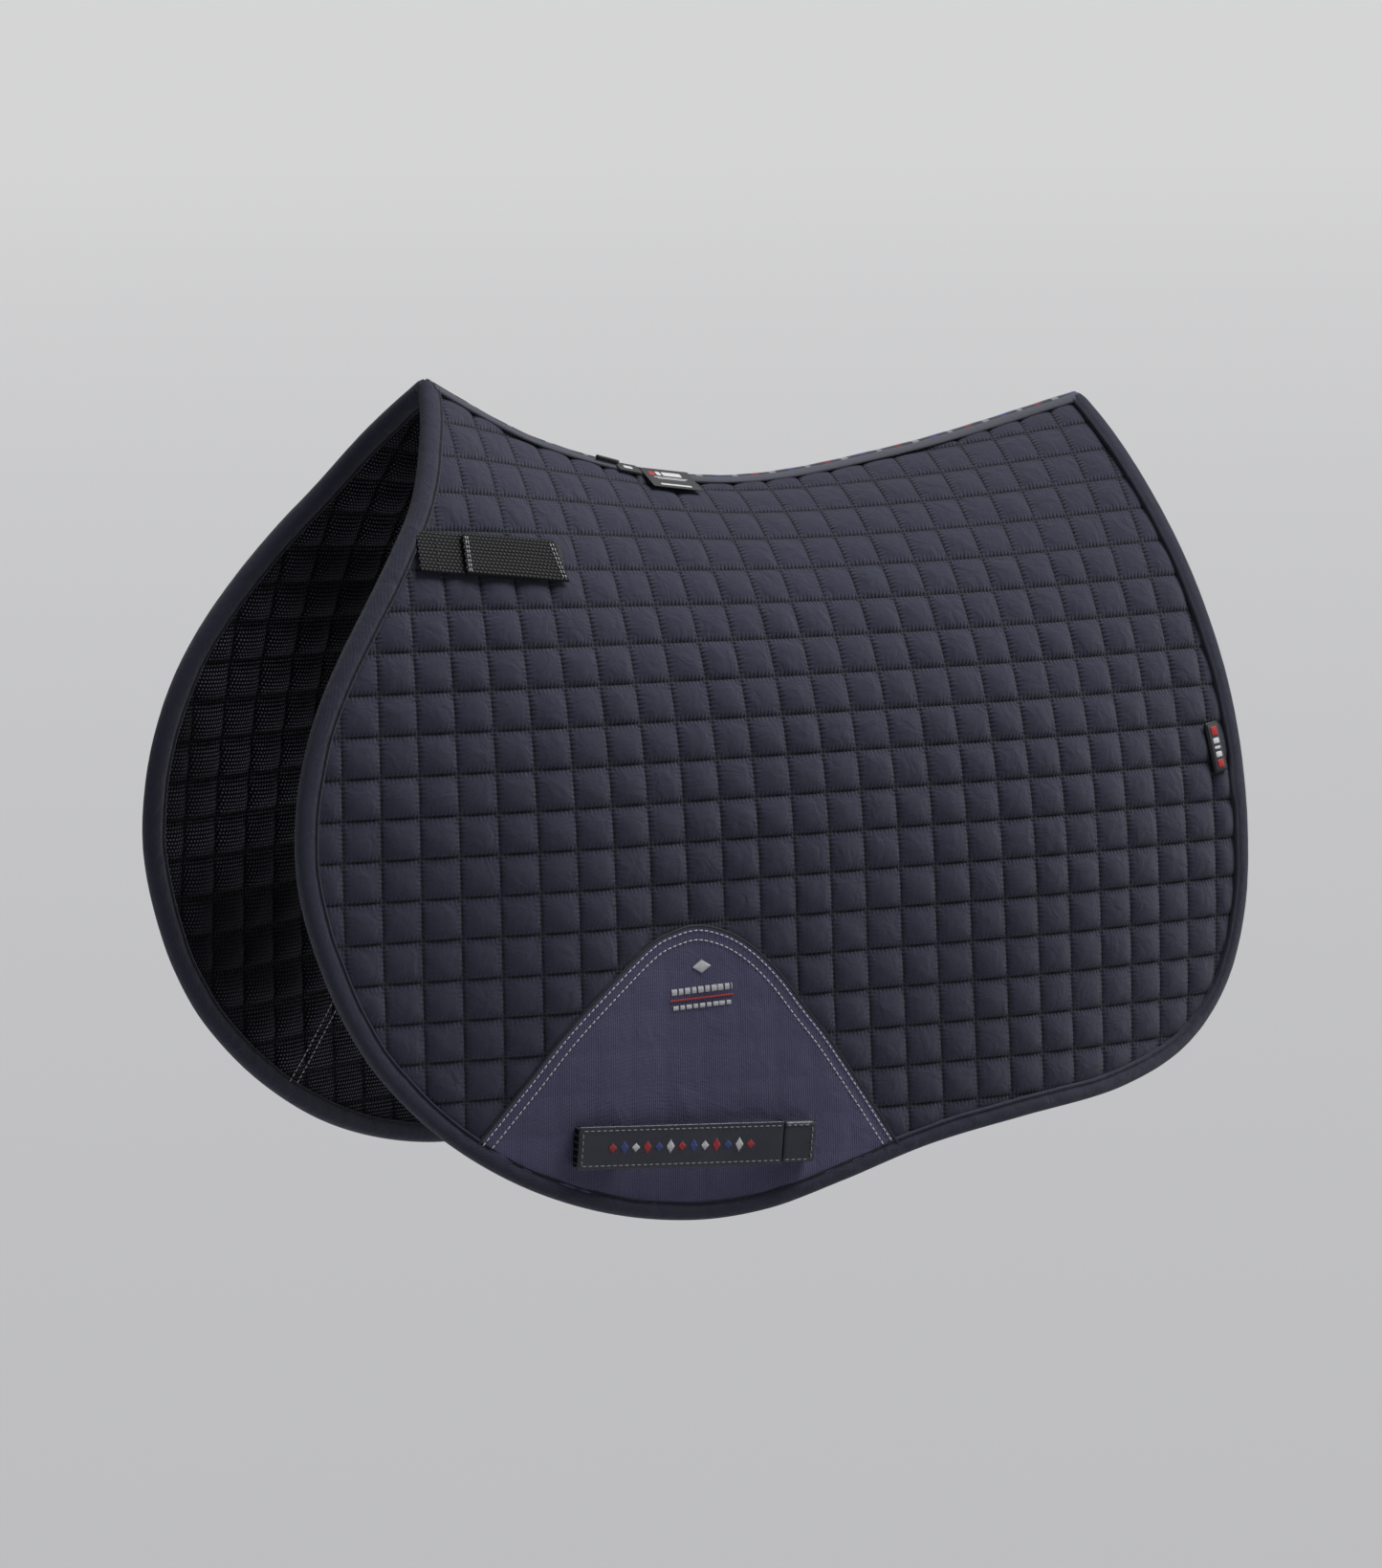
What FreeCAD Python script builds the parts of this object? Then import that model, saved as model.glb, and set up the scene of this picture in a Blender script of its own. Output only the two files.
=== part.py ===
import FreeCAD, Part
import math
import os
import Sketcher
from FreeCAD import Vector

# Saddle pad (close-contact, jumping cut), millimetres.
# -X is the withers (front), +X the rear, -Y the near side, +Z up.
# The origin is the underside of the spine seam at the middle of the pad's length.

os.makedirs("parts", exist_ok=True)
doc = FreeCAD.newDocument("saddle_pad")

# ---------------------------------------------------------------- driving dimensions
sheet = doc.addObject("Spreadsheet::Sheet", "sizes")
SIZES = [
    ("pad_length", 684.0, "front-most to rear-most edge"),
    ("pad_drop", 535.0, "withers peak to the lowest hem, level"),
    ("spine_front", 186.0, "withers end of the spine, ahead of the middle"),
    ("spine_rear", 330.0, "rear end of the spine, behind the middle"),
    ("peak_height", 94.3, "withers peak above the origin"),
    ("cover_thick", 1.0, "outer twill"),
    ("wadding_thick", 5.4, "filling"),
    ("lining_thick", 1.0, "mesh on the horse side"),
    ("ply_gap", 0.3, "clearance between plies"),
    ("half_gap", 1.3, "each half's spine edge from the middle plane"),
    ("binding_width", 13.0, "edge binding, seen from outside"),
    ("binding_thick", 1.0, "edge binding tape"),
    ("sewn_gap", 0.1, "clearance under a sewn-on piece"),
    ("piping_thick", 1.8, "seam piping between the halves"),
    ("piping_rise", 1.6, "piping above the crown"),
    ("ribbon_width", 4.4, "ribbon over the piping"),
    ("ribbon_thick", 0.6, ""),
    ("spine_tape_width", 9.0, "spine tape, middle plane to its edge, level"),
    ("facing_width", 7.0, "inner seam facing, middle plane to its edge, level"),
    ("tape_thick", 0.9, "spine tape and facing"),
    ("patch_thick", 1.0, "rub patch"),
    ("girth_strap_length", 165.0, "moving strap and its sewn end"),
    ("girth_strap_width", 27.0, ""),
    ("girth_strap_thick", 1.6, ""),
    ("girth_backing_thick", 1.2, ""),
    ("girth_backing_inset", 1.0, "backing inside the strap's edges"),
    ("girth_gap", 7.5, "rub patch to backing, where the girth runs"),
    ("girth_anchor_length", 22.0, "sewn end"),
    ("girth_hook_length", 32.0, ""),
    ("hook_thick", 1.2, "hook tape"),
    ("front_strap_width", 27.0, ""),
    ("front_strap_thick", 1.4, ""),
    ("front_base_length", 74.0, ""),
    ("front_flap_length", 76.0, "stitched end to tip"),
    ("front_tip_cut", 8.0, "slant of the flap's tip"),
    ("front_hook_length", 30.0, ""),
    ("front_loop_length", 20.0, "loop tape beyond the base"),
    ("front_tape_inset", 2.0, "hook and loop tape inside the strap's edges"),
    ("front_hook_thick", 1.0, "hook tape and loop tape of the front strap"),
    ("badge_width", 12.0, ""),
    ("badge_height", 33.0, ""),
    ("badge_thick", 2.2, ""),
    ("badge_face_thick", 0.5, ""),
    ("badge_rim", 1.4, "frame round the badge's face"),
    ("label_width", 38.0, "folded label along the spine"),
    ("label_height", 22.0, ""),
    ("label_thick", 0.8, ""),
    ("size_tab_width", 17.0, ""),
    ("size_tab_height", 9.0, ""),
    ("roll_tab_length", 17.0, ""),
    ("roll_tab_radius", 1.6, ""),
]
for row, (alias, value, note) in enumerate(SIZES, start=1):
    sheet.set("A%d" % row, alias)
    sheet.set("B%d" % row, "%g" % value)
    sheet.setAlias("B%d" % row, alias)
    sheet.set("C%d" % row, note)
doc.recompute()


def size(alias):
    return float(getattr(sheet, alias))


# ---------------------------------------------------------------- the draped shape
# Sections across the pad at stations along its length. At a station the outer face leaves
# the spine at crown_angle below level, steepens, and hangs at hang_angle from shoulder on.
half_length = size("pad_length") / 2
top = size("peak_height")
STATION_X = [share * half_length for share in (-0.98, -0.60, -0.28, 0.10, 0.51, 1.01)]
SPINE_Z = [share * top for share in (1.80, 1.044, 0.411, 0.048, 0.109, 0.395)]
CROWN_ANGLE = [60, 50, 34, 20, 21, 30]
HANG_ANGLE = [85, 91, 90, 87, 87, 93]
SHOULDER = [share * size("pad_drop") for share in (0.67, 0.88, 0.71, 0.62, 0.69, 0.84)]


def along(values, x):
    """Value at x of the smooth curve through the stations' values."""
    last = len(STATION_X) - 2
    i = max(0, min(last, sum(1 for s in STATION_X[1:-1] if s <= x)))

    def slope(k):
        a, b = max(k - 1, 0), min(k + 1, len(STATION_X) - 1)
        return (values[b] - values[a]) / (STATION_X[b] - STATION_X[a])

    width = STATION_X[i + 1] - STATION_X[i]
    u = (x - STATION_X[i]) / width
    return ((2 * u**3 - 3 * u**2 + 1) * values[i] + (u**3 - 2 * u**2 + u) * width * slope(i)
            + (3 * u**2 - 2 * u**3) * values[i + 1] + (u**3 - u**2) * width * slope(i + 1))


def face_point(x, run, steps=40):
    """Point on the near half's outer face, run millimetres of cloth below the spine."""
    crown, hang = along(CROWN_ANGLE, x), along(HANG_ANGLE, x)
    shoulder = along(SHOULDER, x)
    y = z = 0.0
    for k in range(steps):
        part = max(0.0, 1 - max(0.0, run * (k + 0.5) / steps) / shoulder)
        angle = math.radians(hang - (hang - crown) * part**1.5)
        y += math.cos(angle)
        z += math.sin(angle)
    return Vector(x, -y * run / steps, along(SPINE_Z, x) - z * run / steps)


def face_frame(x, run):
    """Point, rearward tangent, upward tangent and outward normal of the outer face."""
    step = 0.5
    rearward = (face_point(x + step, run) - face_point(x - step, run)).normalize()
    upward = (face_point(x, run - step) - face_point(x, run + step)).normalize()
    outward = rearward.cross(upward).normalize()
    if outward.z < 0 and outward.y > 0:
        outward = outward * -1
    return face_point(x, run), rearward, upward, outward


def draped_face(xs, runs, offset):
    grid = []
    for x in xs:
        row = []
        for run in runs:
            point, _, _, outward = face_frame(x, run)
            row.append(point + outward * offset)
        grid.append(row)
    surface = Part.BSplineSurface()
    surface.interpolate(grid)
    return surface.toShape()


def spread(low, high, count):
    return [low + (high - low) * k / (count - 1) for k in range(count)]


def draped_slab(x_range, run_range, low, high, counts=(17, 21)):
    """Solid between two offsets of the outer face."""
    xs = spread(x_range[0], x_range[1], counts[0])
    runs = spread(run_range[0], run_range[1], counts[1])
    lower, upper = draped_face(xs, runs, low), draped_face(xs, runs, high)
    sides = [Part.makeRuledSurface(a, b) for a, b in zip(lower.Edges, upper.Edges)]
    shell = Part.makeShell([lower, upper] + sides)
    shell.sewShape()
    solid = Part.makeSolid(shell)
    if solid.Volume < 0:
        solid.reverse()
    return solid


def feature(name, shape):
    made = doc.addObject("Part::Feature", name)
    made.Shape = shape
    return made


def combine(kind, name, base, tool):
    made = doc.addObject(kind, name)
    made.Base = base
    made.Tool = tool
    return made


# ---------------------------------------------------------------- side outlines
# The pad's outline seen square from the side, as shares of half the length and of the drop,
# from the withers end of the spine down the front, along the hem and up the rear.
OUTLINE = [
    (-0.545, 0.015), (-0.610, 0.081), (-0.672, 0.141), (-0.740, 0.191), (-0.812, 0.245),
    (-0.880, 0.301), (-0.932, 0.355), (-0.967, 0.408), (-0.990, 0.465), (-0.999, 0.529),
    (-0.991, 0.585), (-0.964, 0.650), (-0.920, 0.720), (-0.850, 0.792), (-0.735, 0.868),
    (-0.590, 0.932), (-0.430, 0.975), (-0.260, 0.998), (-0.110, 0.996), (0.050, 0.972),
    (0.240, 0.942), (0.440, 0.925), (0.680, 0.912), (0.850, 0.880), (0.945, 0.818),
    (0.988, 0.727), (0.998, 0.611), (0.996, 0.470), (0.988, 0.338), (0.982, 0.209),
    (0.984, 0.110),
]
PATCH = [
    (-0.70, 0.900), (-0.603, 0.845), (-0.485, 0.787), (-0.367, 0.729), (-0.288, 0.690),
    (-0.218, 0.668), (-0.150, 0.697), (-0.070, 0.752), (0.006, 0.816), (0.085, 0.882),
    (0.165, 0.945),
]


def side_point(share_x, share_z):
    return Vector(share_x * half_length, 0, top - share_z * size("pad_drop"))


def shifted(points, inset):
    """The same line moved inwards, square to itself."""
    moved = []
    for k, point in enumerate(points):
        ahead, behind = points[max(k - 1, 0)], points[min(k + 1, len(points) - 1)]
        run = (behind - ahead).normalize()
        moved.append(point + Vector(-run.z, 0, run.x) * inset)
    return moved


def smooth_edge(points):
    curve = Part.BSplineCurve()
    curve.interpolate(points)
    return curve.toShape()


def smooth_run(points):
    """The same smooth line as one edge between each pair of neighbouring points."""
    curve = Part.BSplineCurve()
    curve.interpolate(points)
    ends = [curve.parameter(point) for point in points]
    return [curve.toShape(a, b) for a, b in zip(ends, ends[1:])]


def prism(name, points, cap):
    """Solid from near the middle plane out to the near side, open above through cap points."""
    corners = [points[-1]] + cap + [points[0]]
    lines = [Part.makeLine(a, b) for a, b in zip(corners, corners[1:])]
    face = Part.Face(Part.Wire(smooth_run(points) + lines))
    face.translate(Vector(0, -size("half_gap"), 0))
    return feature(name, face.extrude(Vector(0, -size("pad_drop"), 0)))


edge_points = [side_point(*share) for share in OUTLINE]
above = 2 * top + 60


def outline_prism(name, inset):
    points = shifted(edge_points, inset)
    front, rear = points[0], points[-1]
    front_run = (points[0] - points[1]).normalize() * 60
    cap = [rear + Vector(0, 0, 60), Vector(rear.x, 0, above), Vector(front.x + front_run.x, 0, above),
           front + front_run]
    return prism(name, points, cap)


pad_thick = (size("cover_thick") + size("wadding_thick") + size("lining_thick")
             + 2 * size("ply_gap"))
wrap = size("binding_thick") + size("ply_gap")
whole_prism = outline_prism("outline_whole", 0)
inner_prism = outline_prism("outline_plies", wrap)
lip_prism = outline_prism("outline_lip", size("binding_width"))
clear_prism = outline_prism("outline_lip_clear", size("binding_width") + size("ply_gap"))

# ---------------------------------------------------------------- the plies of a half
X_RANGE = (-half_length - 4, half_length + 4)
RUN_RANGE = (-16.0, 1.16 * size("pad_drop"))
cover_low = -size("cover_thick")
wadding_high = cover_low - size("ply_gap")
wadding_low = wadding_high - size("wadding_thick")
lining_high = wadding_low - size("ply_gap")


def ply(name, low, high):
    slab = feature(name + "_slab", draped_slab(X_RANGE, RUN_RANGE, low, high))
    return combine("Part::Common", name, slab, inner_prism)


near = {}
near["cover"] = ply("near_cover", cover_low, 0)
near["wadding"] = ply("near_wadding", wadding_low, wadding_high)
near["lining"] = ply("near_lining", -pad_thick, lining_high)

# edge binding: a tape folded round the edge, open towards the pad
outer = size("ply_gap") + size("binding_thick")
binding_slab = feature("binding_slab",
                       draped_slab(X_RANGE, RUN_RANGE, -pad_thick - outer, outer))
channel_slab = feature("channel_slab", draped_slab(X_RANGE, RUN_RANGE, -pad_thick - size("ply_gap"),
                                                   size("ply_gap")))
channel_prism = outline_prism("outline_channel", size("binding_thick"))
binding_all = combine("Part::Common", "binding_all", binding_slab, whole_prism)
binding_ring = combine("Part::Cut", "binding_ring", binding_all, lip_prism)
channel = combine("Part::Common", "binding_channel", channel_slab, channel_prism)
near["edge_binding"] = combine("Part::Cut", "near_edge_binding", binding_ring, channel)

# rub patch under the girth
patch_points = [side_point(*share) for share in PATCH]
low_corner = Vector(patch_points[-1].x, 0, -above * 3)
patch_prism = prism("outline_patch", patch_points,
                    [low_corner, Vector(patch_points[0].x, 0, -above * 3)])
patch_low = size("sewn_gap")
patch_top = patch_low + size("patch_thick")
patch_slab = feature("patch_slab", draped_slab(X_RANGE, RUN_RANGE, patch_low, patch_top))
patch_cut = combine("Part::Common", "patch_cut", patch_slab, patch_prism)
near["rub_patch"] = combine("Part::Common", "near_rub_patch", patch_cut, clear_prism)

# ---------------------------------------------------------------- the spine seam
strip_x = (-size("spine_front") + size("binding_width") + 3,
           size("spine_rear") - size("binding_width") - 3)


def spine_strip(name, width, low, high):
    """A strip of tape beside the seam, from the half's spine edge to width, measured level."""
    slab = feature(name + "_slab", draped_slab(X_RANGE, RUN_RANGE, low, high))
    box = doc.addObject("Part::Box", name + "_zone")
    box.Length = strip_x[1] - strip_x[0]
    box.setExpression("Width", "sizes.%s - sizes.half_gap" % width)
    box.Height = 2 * top
    box.Placement.Base = Vector(strip_x[0], -size(width), -top / 2)
    return combine("Part::Common", name, slab, box)


near["spine_tape"] = spine_strip("near_spine_tape", "spine_tape_width", size("sewn_gap"),
                                 size("sewn_gap") + size("tape_thick"))
near["seam_facing"] = spine_strip("near_seam_facing", "facing_width",
                                  -pad_thick - size("sewn_gap") - size("tape_thick"),
                                  -pad_thick - size("sewn_gap"))


def spine_fin(name, x_range, low, high, thick):
    """A fin along the seam, between two heights measured square to the crown."""
    xs = spread(x_range[0], x_range[1], 15)

    def line(offset):
        return smooth_edge([Vector(x, 0, along(SPINE_Z, x) + offset(x)) for x in xs])

    lower, upper = line(low), line(high)
    ends = [Part.makeLine(lower.Vertexes[k].Point, upper.Vertexes[k].Point) for k in (0, 1)]
    face = Part.Face(Part.Wire([lower, ends[1], upper, ends[0]]))
    face.translate(Vector(0, -thick / 2, 0))
    return feature(name, face.extrude(Vector(0, thick, 0)))


def crown_depth(x):
    return -(pad_thick + size("tape_thick")) / math.cos(math.radians(along(CROWN_ANGLE, x)))


piping = spine_fin("spine_piping", strip_x, crown_depth, lambda x: size("piping_rise"),
                   size("piping_thick"))
ribbon_low = size("piping_rise") + size("sewn_gap")
ribbon = spine_fin("spine_ribbon", strip_x, lambda x: ribbon_low,
                   lambda x: ribbon_low + size("ribbon_thick"), size("ribbon_width"))

# ---------------------------------------------------------------- flat sewn-on pieces


def plane_of(body, role):
    return [f for f in body.Origin.OriginFeatures if f.Role == role][0]


def run_at(x, z):
    """Cloth run from the spine down to height z, at x."""
    low, high = 0.0, RUN_RANGE[1]
    for _ in range(40):
        middle = (low + high) / 2
        if face_point(x, middle).z > z:
            low = middle
        else:
            high = middle
    return low


def laid(x_front, run_front, x_rear, run_rear):
    """Placement for a flat piece between two points of the outer face.

    Its origin is the front point, local X runs to the rear point, Y up and Z outward.
    """
    start, finish = face_point(x_front, run_front), face_point(x_rear, run_rear)
    outward = face_frame((x_front + x_rear) / 2, (run_front + run_rear) / 2)[3]
    rearward = (finish - start).normalize()
    upward = outward.cross(rearward).normalize()
    outward = rearward.cross(upward)
    placement = FreeCAD.Placement(FreeCAD.Matrix(
        rearward.x, upward.x, outward.x, 0,
        rearward.y, upward.y, outward.y, 0,
        rearward.z, upward.z, outward.z, 0,
        0, 0, 0, 1))
    placement.Base = start
    return placement


def seat_height(placement, start, length, width):
    """How far the outer face rises above placement's plane under a flat piece."""
    centre = placement.multVec(Vector(start + length / 2, 0, 0))
    run = run_at(centre.x, centre.z)
    reach = max(length, width)
    highest = -99.0
    for x in spread(centre.x - reach, centre.x + reach, 41):
        for down in spread(max(run - reach, 0), run + reach, 41):
            spot = placement.inverse().multVec(face_point(x, down, 24))
            if start - 3 <= spot.x <= start + length + 3 and abs(spot.y) <= width / 2 + 3:
                highest = max(highest, spot.z)
    return highest


def derived(alias, value):
    """Keep a worked-out size in the sheet, so that a feature can be bound to it."""
    row = len(SIZES) + 1
    SIZES.append((alias, value, "worked out"))
    sheet.set("A%d" % row, alias)
    sheet.set("B%d" % row, "%.4f" % value)
    sheet.setAlias("B%d" % row, alias)
    doc.recompute()


def plate(name, placement, length, width, thick, start=0.0, lift=0.0, slant=None, corner=1.2):
    """A flat piece as a padded sketch whose sizes are expressions on the sheet.

    start and lift move it along and off the strap that placement stands for.
    """
    body = doc.addObject("PartDesign::Body", name)
    body.Label = name
    sketch = body.newObject("Sketcher::SketchObject", name + "_sketch")
    sketch.AttachmentSupport = [(plane_of(body, "XY_Plane"), "")]
    sketch.MapMode = "FlatFace"
    corners = [Vector(0, -5, 0), Vector(20, -5, 0), Vector(21, 5, 0), Vector(0, 5, 0)]
    for a, b in zip(corners, corners[1:] + corners[:1]):
        sketch.addGeometry(Part.LineSegment(a, b))
    rules = [Sketcher.Constraint("Coincident", k, 2, (k + 1) % 4, 1) for k in range(4)]
    rules += [Sketcher.Constraint("Horizontal", 0), Sketcher.Constraint("Horizontal", 2),
              Sketcher.Constraint("PointOnObject", 0, 1, -2),
              Sketcher.Constraint("Symmetric", 0, 1, 3, 1, -1)]
    if slant is None:
        rules.append(Sketcher.Constraint("Vertical", 1))
    for rule in rules:
        sketch.addConstraint(rule)
    bound = [("DistanceX", (0, 1, 0, 2), length), ("DistanceY", (0, 1, 3, 1), width)]
    if slant is not None:
        bound.append(("DistanceX", (0, 2, 1, 2), slant))
    for kind, ends, rule in bound:
        index = sketch.addConstraint(Sketcher.Constraint(kind, *ends, 9.0))
        sketch.setExpression("Constraints[%d]" % index, rule)
    doc.recompute()
    pad = body.newObject("PartDesign::Pad", name + "_pad")
    pad.Profile = sketch
    pad.setExpression("Length", thick)
    doc.recompute()
    if corner:
        upright = ["Edge%d" % (k + 1) for k, edge in enumerate(pad.Shape.Edges)
                   if abs(edge.tangentAt(edge.FirstParameter).z) > 0.99]
        fillet = body.newObject("PartDesign::Fillet", name + "_corners")
        fillet.Base = (pad, upright)
        fillet.Radius = corner
        body.Tip = fillet
    body.Placement = placement.multiply(FreeCAD.Placement(Vector(start, 0, lift),
                                                          FreeCAD.Rotation()))
    return body


# girth keeper strap: its sewn end is at the rear, and it opens from the front
GIRTH_FRONT = (-0.500 * half_length, top - 0.888 * size("pad_drop"))
GIRTH_SLOPE = 0.086
girth_rear_x = GIRTH_FRONT[0] + size("girth_strap_length")
girth_rear_z = GIRTH_FRONT[1] - GIRTH_SLOPE * size("girth_strap_length")
girth = laid(GIRTH_FRONT[0], run_at(*GIRTH_FRONT),
             girth_rear_x, run_at(girth_rear_x, girth_rear_z))
anchor_start = size("girth_strap_length") - size("girth_anchor_length")
tab_length = size("girth_hook_length") + size("girth_backing_inset")
whole_seat = seat_height(girth, 0, size("girth_strap_length"), size("girth_strap_width"))
tab_low = (seat_height(girth, 0, tab_length, size("girth_strap_width"))
           + patch_top + size("sewn_gap"))
anchor_low = (seat_height(girth, anchor_start, size("girth_anchor_length"),
                          size("girth_strap_width")) + patch_top + size("sewn_gap"))
backing_lift = whole_seat + patch_top + size("girth_gap")
strap_lift = backing_lift + size("girth_backing_thick")
strap_top = strap_lift + size("girth_strap_thick")
derived("girth_tab_length", tab_length)
derived("girth_tab_thick", backing_lift - size("hook_thick") - size("ply_gap") - tab_low)
derived("girth_anchor_thick", strap_top - anchor_low)
moving = "sizes.girth_strap_length - sizes.girth_anchor_length - sizes.ply_gap"
near["girth_strap"] = plate("near_girth_strap", girth, moving, "sizes.girth_strap_width",
                            "sizes.girth_strap_thick", 0, strap_lift)
near["girth_strap_backing"] = plate(
    "near_girth_strap_backing", girth, moving + " - sizes.girth_backing_inset",
    "sizes.girth_strap_width - 2 * sizes.girth_backing_inset", "sizes.girth_backing_thick",
    size("girth_backing_inset"), backing_lift)
near["girth_hook_tape"] = plate(
    "near_girth_hook_tape", girth, "sizes.girth_hook_length",
    "sizes.girth_strap_width - 4 * sizes.girth_backing_inset", "sizes.hook_thick",
    2 * size("girth_backing_inset"), backing_lift - size("hook_thick"))
near["girth_keeper_tab"] = plate(
    "near_girth_keeper_tab", girth, "sizes.girth_tab_length",
    "sizes.girth_strap_width - 2 * sizes.girth_backing_inset", "sizes.girth_tab_thick",
    size("girth_backing_inset"), tab_low)
near["girth_strap_anchor"] = plate(
    "near_girth_strap_anchor", girth, "sizes.girth_anchor_length", "sizes.girth_strap_width",
    "sizes.girth_anchor_thick", anchor_start, anchor_low)

# front strap: base and loop tape are sewn on, the flap lifts from its front end
FRONT_START = (-0.662 * half_length, top - 0.199 * size("pad_drop"))
FRONT_SLOPE = 0.165
FLAP_START = 20.0
front_length = FLAP_START + size("front_flap_length")
front_rear_x = FRONT_START[0] + front_length
front_rear_z = FRONT_START[1] - FRONT_SLOPE * front_length
front = laid(FRONT_START[0], run_at(*FRONT_START),
             front_rear_x, run_at(front_rear_x, front_rear_z))
front_low = (seat_height(front, 0, front_length, size("front_strap_width"))
             + size("sewn_gap"))
near["front_strap_base"] = plate("near_front_strap_base", front, "sizes.front_base_length",
                                 "sizes.front_strap_width", "sizes.front_strap_thick",
                                 0, front_low)
near["front_loop_tape"] = plate(
    "near_front_loop_tape", front, "sizes.front_loop_length",
    "sizes.front_strap_width - 2 * sizes.front_tape_inset", "sizes.front_strap_thick",
    size("front_base_length") + size("ply_gap"), front_low)
hook_lift = front_low + size("front_strap_thick") + size("ply_gap")
hook_start = front_length - size("front_hook_length") - size("front_tip_cut")
near["front_strap_hook_tape"] = plate(
    "near_front_strap_hook_tape", front, "sizes.front_hook_length",
    "sizes.front_strap_width - 2 * sizes.front_tape_inset", "sizes.front_hook_thick",
    hook_start, hook_lift)
flap_lift = hook_lift + size("front_hook_thick")
near["front_strap_flap"] = plate(
    "near_front_strap_flap", front, "sizes.front_flap_length - sizes.front_tip_cut",
    "sizes.front_strap_width", "sizes.front_strap_thick", FLAP_START, flap_lift,
    slant="sizes.front_tip_cut")

# rubber badge in front of the rear binding, near side only
BADGE_X = half_length - size("binding_width") - size("badge_width") / 2 - 4
BADGE_RUN = run_at(BADGE_X, top - 0.518 * size("pad_drop"))
badge = laid(BADGE_X - size("badge_width") / 2, BADGE_RUN,
             BADGE_X + size("badge_width") / 2, BADGE_RUN)
badge_low = (seat_height(badge, 0, size("badge_width"), size("badge_height"))
             + size("sewn_gap"))
rear_badge = plate("rear_badge", badge, "sizes.badge_width", "sizes.badge_height",
                   "sizes.badge_thick", 0, badge_low, corner=2.4)
badge_face = plate("rear_badge_face", badge, "sizes.badge_width - 2 * sizes.badge_rim",
                   "sizes.badge_height - 2 * sizes.badge_rim", "sizes.badge_face_thick",
                   size("badge_rim"), badge_low + size("badge_thick"), corner=1.2)

# labels sewn in at the spine, lying over the near half
over_tape = size("sewn_gap") + size("tape_thick") + size("ply_gap")
LABEL_TOP_RUN = 2.5


def spine_label(name, x_front, width, height):
    run = LABEL_TOP_RUN + size(height) / 2
    seat = laid(x_front, run, x_front + size(width), run)
    lift = seat_height(seat, 0, size(width), size(height)) + over_tape
    return plate(name, seat, "sizes." + width, "sizes." + height, "sizes.label_thick",
                 0, lift, corner=0.8)


fold_label = spine_label("fold_label", -0.055 * half_length, "label_width", "label_height")
size_tab = spine_label("size_tab", -0.110 * half_length, "size_tab_width", "size_tab_height")
roll_tab = doc.addObject("Part::Cylinder", "roll_tab")
roll_tab.setExpression("Radius", "sizes.roll_tab_radius")
roll_tab.setExpression("Height", "sizes.roll_tab_length")
ROLL_RUN = 4.5
roll_x = -0.175 * half_length
roll_seat = laid(roll_x, ROLL_RUN, roll_x + size("roll_tab_length"), ROLL_RUN)
roll_lift = (seat_height(roll_seat, 0, size("roll_tab_length"), size("roll_tab_radius"))
             + over_tape + size("roll_tab_radius"))
roll_tab.Placement = roll_seat.multiply(FreeCAD.Placement(
    Vector(0, 0, roll_lift), FreeCAD.Rotation(Vector(0, 1, 0), 90)))

# ---------------------------------------------------------------- the off half, and export
parts = {"near_" + name: piece for name, piece in near.items()}
for name, piece in near.items():
    twin = doc.addObject("Part::Mirroring", "off_" + name)
    twin.Source = piece
    twin.Normal = Vector(0, 1, 0)
    parts["off_" + name] = twin
for piece in (piping, ribbon, rear_badge, badge_face, fold_label, size_tab, roll_tab):
    parts[piece.Name] = piece
doc.recompute()

for made in doc.Objects:
    if "Invalid" in made.State or "Error" in made.State:
        raise RuntimeError("%s did not build: %s" % (made.Name, made.State))
for name, piece in parts.items():
    piece.Label = name
    if piece.Shape.isNull() or not piece.Shape.isValid() or piece.Shape.Volume <= 0:
        raise RuntimeError("%s has no valid solid" % name)
    piece.Shape.exportStep("parts/%s.step" % name)
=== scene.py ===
import math

import bpy
import numpy as np
from mathutils import Matrix, Vector, kdtree


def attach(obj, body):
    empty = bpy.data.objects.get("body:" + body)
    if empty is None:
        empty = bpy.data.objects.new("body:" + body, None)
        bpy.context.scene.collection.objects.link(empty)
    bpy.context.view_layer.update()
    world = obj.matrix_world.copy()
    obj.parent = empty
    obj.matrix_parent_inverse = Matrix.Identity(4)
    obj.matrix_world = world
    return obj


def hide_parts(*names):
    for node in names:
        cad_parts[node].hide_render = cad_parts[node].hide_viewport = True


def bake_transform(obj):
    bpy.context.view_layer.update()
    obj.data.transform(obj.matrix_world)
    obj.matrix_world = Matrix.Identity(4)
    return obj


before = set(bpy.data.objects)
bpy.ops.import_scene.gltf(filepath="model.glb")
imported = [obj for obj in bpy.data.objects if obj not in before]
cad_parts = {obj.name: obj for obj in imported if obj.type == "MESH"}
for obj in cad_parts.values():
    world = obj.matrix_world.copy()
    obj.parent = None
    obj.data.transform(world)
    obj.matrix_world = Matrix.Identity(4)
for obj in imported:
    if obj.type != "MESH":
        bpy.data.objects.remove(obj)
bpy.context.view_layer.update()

# ---------------------------------------------------------------- quilted covers
# The outer face of the pad: one sheet of navy cotton twill on each side of the horse, quilted in
# one-inch squares through the wadding. Each sheet is cut to the saddle's outline and sewn to its
# twin along the spine. It takes the shape of the horse's back, steep over the withers.
PAD_LENGTH, PAD_DROP, PEAK = 0.684, 0.535, 0.0943
HALF_LENGTH = PAD_LENGTH / 2
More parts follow.
